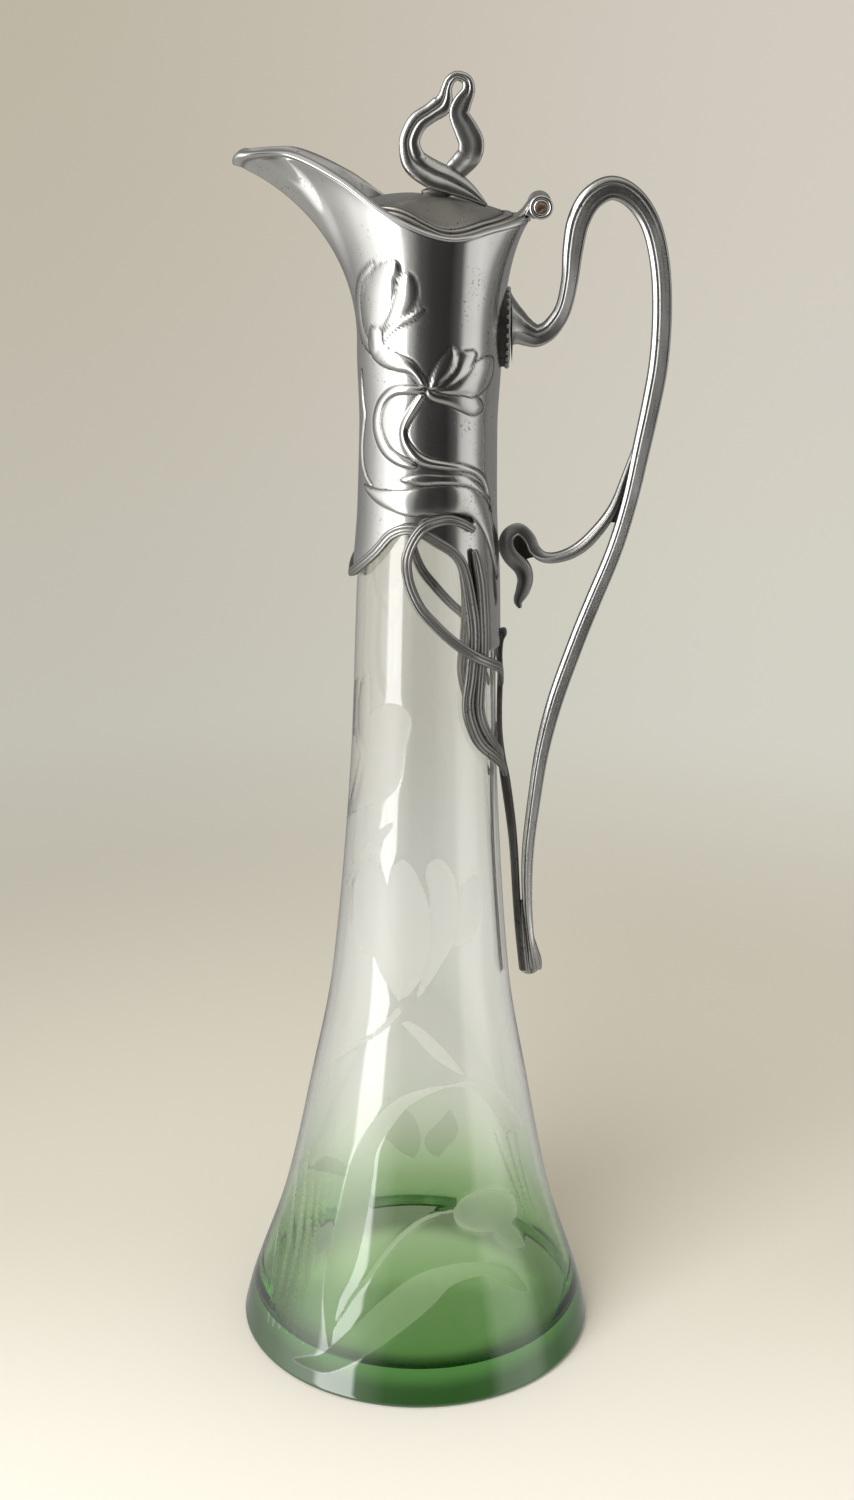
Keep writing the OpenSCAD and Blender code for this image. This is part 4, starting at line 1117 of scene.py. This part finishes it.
# How much wider and lower the border is at the hinge, and what the dome stands on and how it bulges
BACK_WIDER = 1.5
BACK_LOWER = 0.72
DOME_FOOT = (2.1 * STEP_W, 2.8 * STEP_H)
BULGE = 1.7
UNDER_SHADE = 0.3


def lid_knots():
    """The lid's edge: along the inside of the rim from the hinge, then to its point in the spout."""
    seats = [flare_inside(index / (len(RIM_KNOTS) - 1), LID_SEAT, LID_GAP)
             for index in range(LID_FRONT + 1)]
    side = seats[-1]
    return ([(0, p[0], 0, p[1], p[2]) for p in seats]
            + [(0, 0.25 * side[0] - 0.75 * LID_POINT, 0, 0.6 * side[1], side[2] - 0.4 * LID_DIP),
               (0, -LID_POINT, 0, 0, side[2] - LID_DIP)])


LID_KNOTS = lid_knots()


def back_share(u):
    return np.where(u < BACK_END, (1 + np.cos(math.pi * np.minimum(u, BACK_END) / BACK_END)) / 2, 0)


def border(u, out, up):
    """Point of the lid's stepped border, which widens and flattens towards the hinge."""
    edge = half_curve(LID_KNOTS, u)[..., [1, 3, 4]]
    middle = unit((LID_MIDDLE - edge) * (1, 1, 0))
    wide = out * (1 + BACK_WIDER * back_share(u))
    high = up * (1 - BACK_LOWER * back_share(u))
    return edge + middle * wide[..., None] + np.stack([0 * high, 0 * high, high], axis=-1)


def dome(u, w, drop=0.0):
    """Point of the dome from the border (w = 0) to the crest (w = 1)."""
    foot = border(u, *DOME_FOOT)
    points = foot + w * (LID_MIDDLE - foot)
    points[..., 2] = foot[..., 2] + (CREST_Z - foot[..., 2]) * (1 - (1 - w) ** BULGE) - drop
    return points


# Lid border: shares of the step's width and height, and how hollow the metal lies there
LID_STEPS = (
    (0.85, 0, 0.8), (0, 0, 0.95), (-0.02, 0.6, 0.6), (0.04, 1.15, 0.1), (0.14, 1.35, 0), (0.4, 1.46, 0),
    (0.8, 1.44, 0.2), (0.95, 1.42, 0.95), (1, 1.7, 0.8), (1.04, 2.1, 0.1), (1.14, 2.32, 0), (1.4, 2.44, 0),
    (1.75, 2.42, 0.3), (1.92, 2.4, 0.95), (2.05, 2.58, 0.6))


def lid():
    def rings(u):
        under = [shaded(dome(u, w, LID), UNDER_SHADE) for w in shares[::-1]]
        steps = [shaded(border(u, out * STEP_W, up * STEP_H), shade) for out, up, shade in LID_STEPS]
        over = [shaded(dome(u, w), 0.02 + 0.12 * (1 - w) + 0.4 * hump(w, 0, 0.03)) for w in shares]
        return np.stack(under + steps + over)

    shares = np.linspace(0, 1, DOME_ROWS)
    bm = lattice(whole(rings, LID_COLUMNS))
    add_piece("domed_lid", bm, LID_SILVER, "lid", "silver_plate", "lid")


# The strap's sweep, as x and z from the hinge, half thickness and half width
STRAP_KNOTS = ((-7.6, -3.8, 0.7, 4.8), (-5.8, -2.9, 1, 3.6), (-4.2, -1.7, 1.2, 2.9), (-2.6, 0.3, 1.3, 2.65),
               (-1.2, 1.7, 1.1, 2.65))


def lid_strap():
    """The strap that sweeps from the lid's border over the rim to its knuckle."""
    toe = dome(np.array(0.0), 0.0)[0] + 0.6
    knots = [(toe, HINGE[2] - 3.6, 0.45, 5.6)]
    knots += [(HINGE[0] + x, HINGE[2] + z, thick, wide) for x, z, thick, wide in STRAP_KNOTS]
    strap = swept(plane_path(knots), grooved_bar(), columns=32, rows=40, caps=(0.5, 0.3))
    knuckle = barrel(-LID_KNUCKLE_W / 2, LID_KNUCKLE_W, False)
    knuckle.verts.layers.float.new("hollow")
    add_piece("lid_strap", joined(strap, knuckle), LID_SILVER, "lid", "silver_plate", "lid_knuckle")


# Finial: knots of x, height above the crest and share of width; its tail lies on the lid's back slope

FINIAL_LOOP = (
    (-0.2, 5.5, 1.22), (-4.8, 8.6, 1.1), (-6.4, 12.9, 0.9), (-6, 16.1, 0.85), (-4, 19.6, 0.84),
    (-0.6, 22, 0.8), (2.2, 24, 0.88), (3.3, 26.1, 0.66), (3.7, 28.5, 0.47), (4.6, 30.8, 0.42),
    (6.6, 32.1, 0.4), (9.3, 31, 0.46), (9.8, 28.2, 0.56), (8, 24.5, 0.8), (7.3, 21.8, 0.82),
    (9.3, 17.8, 0.98), (10.9, 14.2, 1.06), (10.5, 10.9, 1.04), (8.4, 8.2, 0.98), (6.4, 5.9, 0.9),
    (5.4, 3.6, 0.75), (5.2, 2.4, 0.6))
# Shares of the way up the dome and of width
FINIAL_TAIL = ((0.16, 0.1), (0.36, 0.7), (0.58, 1.12))
TAIL_LEAN = (-0.35, 1.12)
# Lean of the ribbon at the foot, and how far behind it the right limb ends
RIBBON_LEAN = math.radians(32)
LIMB_BACK = 2.4
# Spans of the path over which the lean goes and the limb steps back: start and run
LEAN_SPANS = (3.2, 2)
LIMB_SPANS = (19.5, 2.5)
# A pad at the ribbon's foot, which fills the gap under it and is painted dark as the shade there
FOOT_AT = (1.8, 0, CREST_Z + 0.4)
FOOT_HALF = (4.8, 1.5, 1.5)
FOOT_SHADE = 0.6


def finial_section(x, y, along):
    """Two bands with a groove between them, and beyond the top loop a dished leaf."""
    leaf = ease(along, 0.62, 0.08)
    groove = hump(x, -0.05, 0.17)
    dish = hump(x, 0.2, 0.45)
    swell = 1 - 0.1 * (2 * np.abs(x + 0.05) - 0.95) ** 2
    height = (1 - leaf) * (swell - 0.16 * groove) + leaf * (1 - 0.16 * dish)
    dark = (1 - leaf) * 0.8 * groove ** 2 + leaf * 0.7 * dish
    return x, fuller(y, 0.45) * height, np.clip(dark, 0, 0.9)


def finial():
    def tail(w, share):
        point = dome(np.array(0.0), w)
        wide = FINIAL[0] * share
        return (point[0] + TAIL_LEAN[0] * wide, point[2] + TAIL_LEAN[1] * wide + 2 * FILM, wide,
                FINIAL[1] * (0.5 + 0.5 * share))

    knots = [tail(w, share) for w, share in FINIAL_TAIL]
    knots += [(x, CREST_Z + z, FINIAL[0] * share, FINIAL[1] * (0.6 + 0.4 * share))
              for x, z, share in FINIAL_LOOP]
    path = plane_path(knots)
    span = np.arange(len(path)) / SPAN_ROWS
    lean = RIBBON_LEAN * (1 - ease(span, *LEAN_SPANS))
    path[:, 1] = LIMB_BACK * ease(span, *LIMB_SPANS)
    path[:, 4], path[:, 5] = -np.cos(lean), np.sin(lean)
    loop = swept(path, finial_section, columns=96, rows=420, caps=(0.5, 0.4))
    foot = bmesh.new()
    shade = foot.verts.layers.float.new("hollow")
    stand = Matrix.Translation(Vector(FOOT_AT) * MM) @ Matrix.Diagonal((*FOOT_HALF, 1))
    bmesh.ops.create_uvsphere(foot, u_segments=24, v_segments=12, radius=MM, matrix=stand)
    for vert in foot.verts:
        vert[shade] = FOOT_SHADE
    add_piece("openwork_finial", joined(loop, foot), RUBBED_SILVER, "lid", "silver_plate", "finial")


# Studio

CAMERA_AT = Vector((0.0010, -0.6497, 0.4309))
CAMERA_TILT = math.radians(19.593)
CAMERA_ROLL = math.radians(0.848)
CAMERA_LENS = 53.66
EWER_MIDDLE = Vector((0, 0, 0.2))


def camera():
    data = bpy.data.cameras.new("camera")
    data.sensor_width = 36
    data.lens = CAMERA_LENS
    data.clip_start = 0.01
    item = add_object("camera", data)
    turn = Matrix.Rotation(math.pi / 2 - CAMERA_TILT, 4, "X") @ Matrix.Rotation(CAMERA_ROLL, 4, "Z")
    item.matrix_world = Matrix.Translation(CAMERA_AT) @ turn
    bpy.context.scene.camera = item


def window(name, azimuth, distance, height, size, watts):
    """A tall soft light at an azimuth to the right of the camera, turned to the ewer."""
    data = bpy.data.lights.new(name, "AREA")
    data.shape = "RECTANGLE"
    data.size, data.size_y = size
    data.energy = watts
    item = add_object(name, data)
    turn = math.radians(azimuth)
    spot = Vector((distance * math.sin(turn), -distance * math.cos(turn), height))
    aim = EWER_MIDDLE - spot
    item.matrix_world = Matrix.Translation(spot) @ aim.to_track_quat("-Z", "Y").to_matrix().to_4x4()
    item.visible_camera = False
    item.visible_glossy = False
    item.visible_transmission = False


# Backdrop on the left and on the right, above and below, painted darker to the left and above as light and
# shade across it
BACKDROP_TOP = ((0.515, 0.468, 0.376, 1), (0.650, 0.600, 0.530, 1))
BACKDROP_LOW = ((0.55, 0.535, 0.465, 1), (0.655, 0.645, 0.565, 1))
# The room that the metal mirrors: degrees to the right of the camera, brightness
ROOM = ((-180, 0.25), (-150, 0.27), (-122, 0.42), (-100, 0.75), (-62, 0.95), (-36, 0.7), (-26, 0.42),
        (-18, 0.12), (0, 0.05), (30, 0.03), (48, 0.12), (57, 0.75), (75, 0.95), (84, 0.8), (93, 0.3),
        (104, 0.2), (120, 0.26), (150, 0.25), (180, 0.25))
CEILING = ((0.75, 0.735, 0.70, 1), (0.27, 0.265, 0.25, 1))
GROUND = (0.45, 0.44, 0.41, 1)
# The window, in the same degrees: share of its glow
PANES = ((-100, 0), (-84, 0.12), (-66, 0.22), (-62, 1), (-39.5, 1), (-37, 0))
GLOW = (3.6, 3.6, 3.6, 1)


def background():
    """A plain backdrop with painted light and shade, which gives way to a room with one tall window where
    metal or glass mirrors it.
    """
    def turned(stops):
        return [((degrees + 180) / 360, (level, 0.985 * level, 0.95 * level, 1)) for degrees, level in stops]

    world = bpy.data.worlds.new("studio")
    world.use_nodes = True
    nodes = Nodes(world.node_tree)
    facing = nodes.node("TexCoord", output="Generated")
    x, y, z = (nodes.axis(name, facing) for name in "XYZ")
    turn = nodes.math("ARCTAN2", x, 0 - y) / math.tau + 0.5
    room = nodes.node("ValToRGB", {"stops": turned(ROOM)}, {0: turn})
    room = nodes.mix(z.step(0.35, 0.8), room, nodes.mix(y.step(-0.2, 0.3), *CEILING))
    room = nodes.mix((0 - z).step(0.35, 0.7), room, GROUND)
    panes = nodes.node("ValToRGB", {"stops": turned(PANES)}, {0: turn}) * (1 - z.step(0.55, 0.75))
    panes = panes * (1 - (0 - z).step(0.4, 0.7))
    high, low = (nodes.mix(x.step(-0.2, 0.2), *tones) for tones in (BACKDROP_TOP, BACKDROP_LOW))
    plain = nodes.mix((0 - z).step(0, 0.4), high, low)
    glossy, through = nodes.ray("Glossy"), nodes.ray("Transmission")
    colour = nodes.mix(glossy * (1 - through * y.step(-0.75, -0.15)), plain, room)
    lit = nodes.node("Mix", {"data_type": "RGBA", "blend_type": "ADD"},
                     {0: panes * glossy * (1 - through), 6: colour, 7: GLOW}, output=2)
    nodes.fill(world.node_tree.nodes["Background"], {"Color": lit})
    bpy.context.scene.world = world


FLOOR_R = 0.8
FLOOR_LIFT = 0.0002
# A painted pool of light: the floor is brightest just in front of the ewer and darker away from it
# Colours of the floor: in front and near, round the ewer, far on the left and on the right, in its grain
FLOOR_FRONT = ((0.78, 0.77, 0.72, 1), (0.99, 0.98, 0.92, 1))
FLOOR_MIDDLE = (0.79, 0.775, 0.70, 1)
FLOOR_FAR = ((0.60, 0.595, 0.545, 1), (0.75, 0.745, 0.69, 1))
FLOOR_GRAIN = (0.5, 0.47, 0.4, 1)
BLACK = (0, 0, 0, 1)


def floor():
    """A pale round floor that fades into the backdrop. Metal and glass don't mirror it. Seen through the
    glass it glows with its own colour as painted light, with a painted shadow in a ring under the foot.
    """
    bm = bmesh.new()
    bmesh.ops.create_circle(bm, cap_ends=True, segments=96, radius=FLOOR_R)
    bmesh.ops.translate(bm, verts=bm.verts, vec=(0, 0, FLOOR_LIFT))
    material, nodes, shader = new_finish("pale floor", {"Roughness": 0.8, "Specular IOR Level": 0,
                                                        "Emission Strength": 1})
    here = nodes.place()
    distance = nodes.node("VectorMath", {"operation": "LENGTH"}, {0: here}, output="Value")
    across, depth = (nodes.axis(name, here) for name in "XY")
    far = nodes.mix(across.step(-0.25, 0.2), *FLOOR_FAR)
    pale = nodes.mix(distance.step(0.05, 0.45), FLOOR_MIDDLE, far)
    front = nodes.mix(depth.step(-0.38, -0.16), *FLOOR_FRONT)
    pale = nodes.mix(depth.step(-0.11, 0.07), front, pale)
    pale = nodes.mix(nodes.noise(700, 2) * 0.06, pale, FLOOR_GRAIN)
    glossy, through = nodes.ray("Glossy"), nodes.ray("Transmission")
    mirror = glossy * (1 - through * depth.step(-0.15, -0.05))
    gone = nodes.math("MAXIMUM", distance.step(0.3, 0.65), mirror)
    # Painted shadow in a ring under the glass foot, in the glow of the floor seen through the glass
    shade = distance.step(0.034, 0.046) * (1 - distance.step(0.0575, 0.0585))
    under = nodes.mix(shade * 0.55, pale, BLACK)
    nodes.fill(shader, {
        "Base Color": nodes.mix(through, pale, BLACK),
        "Emission Color": nodes.mix(through, BLACK, under),
        "Alpha": 1 - gone})
    item = shape_object("floor", bm, material)


camera()
window("left window", azimuth=-32, distance=1.1, height=0.8, size=(0.9, 1.2), watts=16)
background()
floor()

glass_body()
collar()
stems()
strut()
handle()
handle_plate()
for knuckle_side in ("near", "far"):
    collar_knuckle(knuckle_side)
lid()
lid_strap()
finial()
frame["nodes"]["plaster_bedding"].data.materials[0] = plaster_finish()
frame["nodes"]["hinge_pin"].data.materials[0] = pin_finish()

bpy.context.scene.view_settings.view_transform = "Standard"
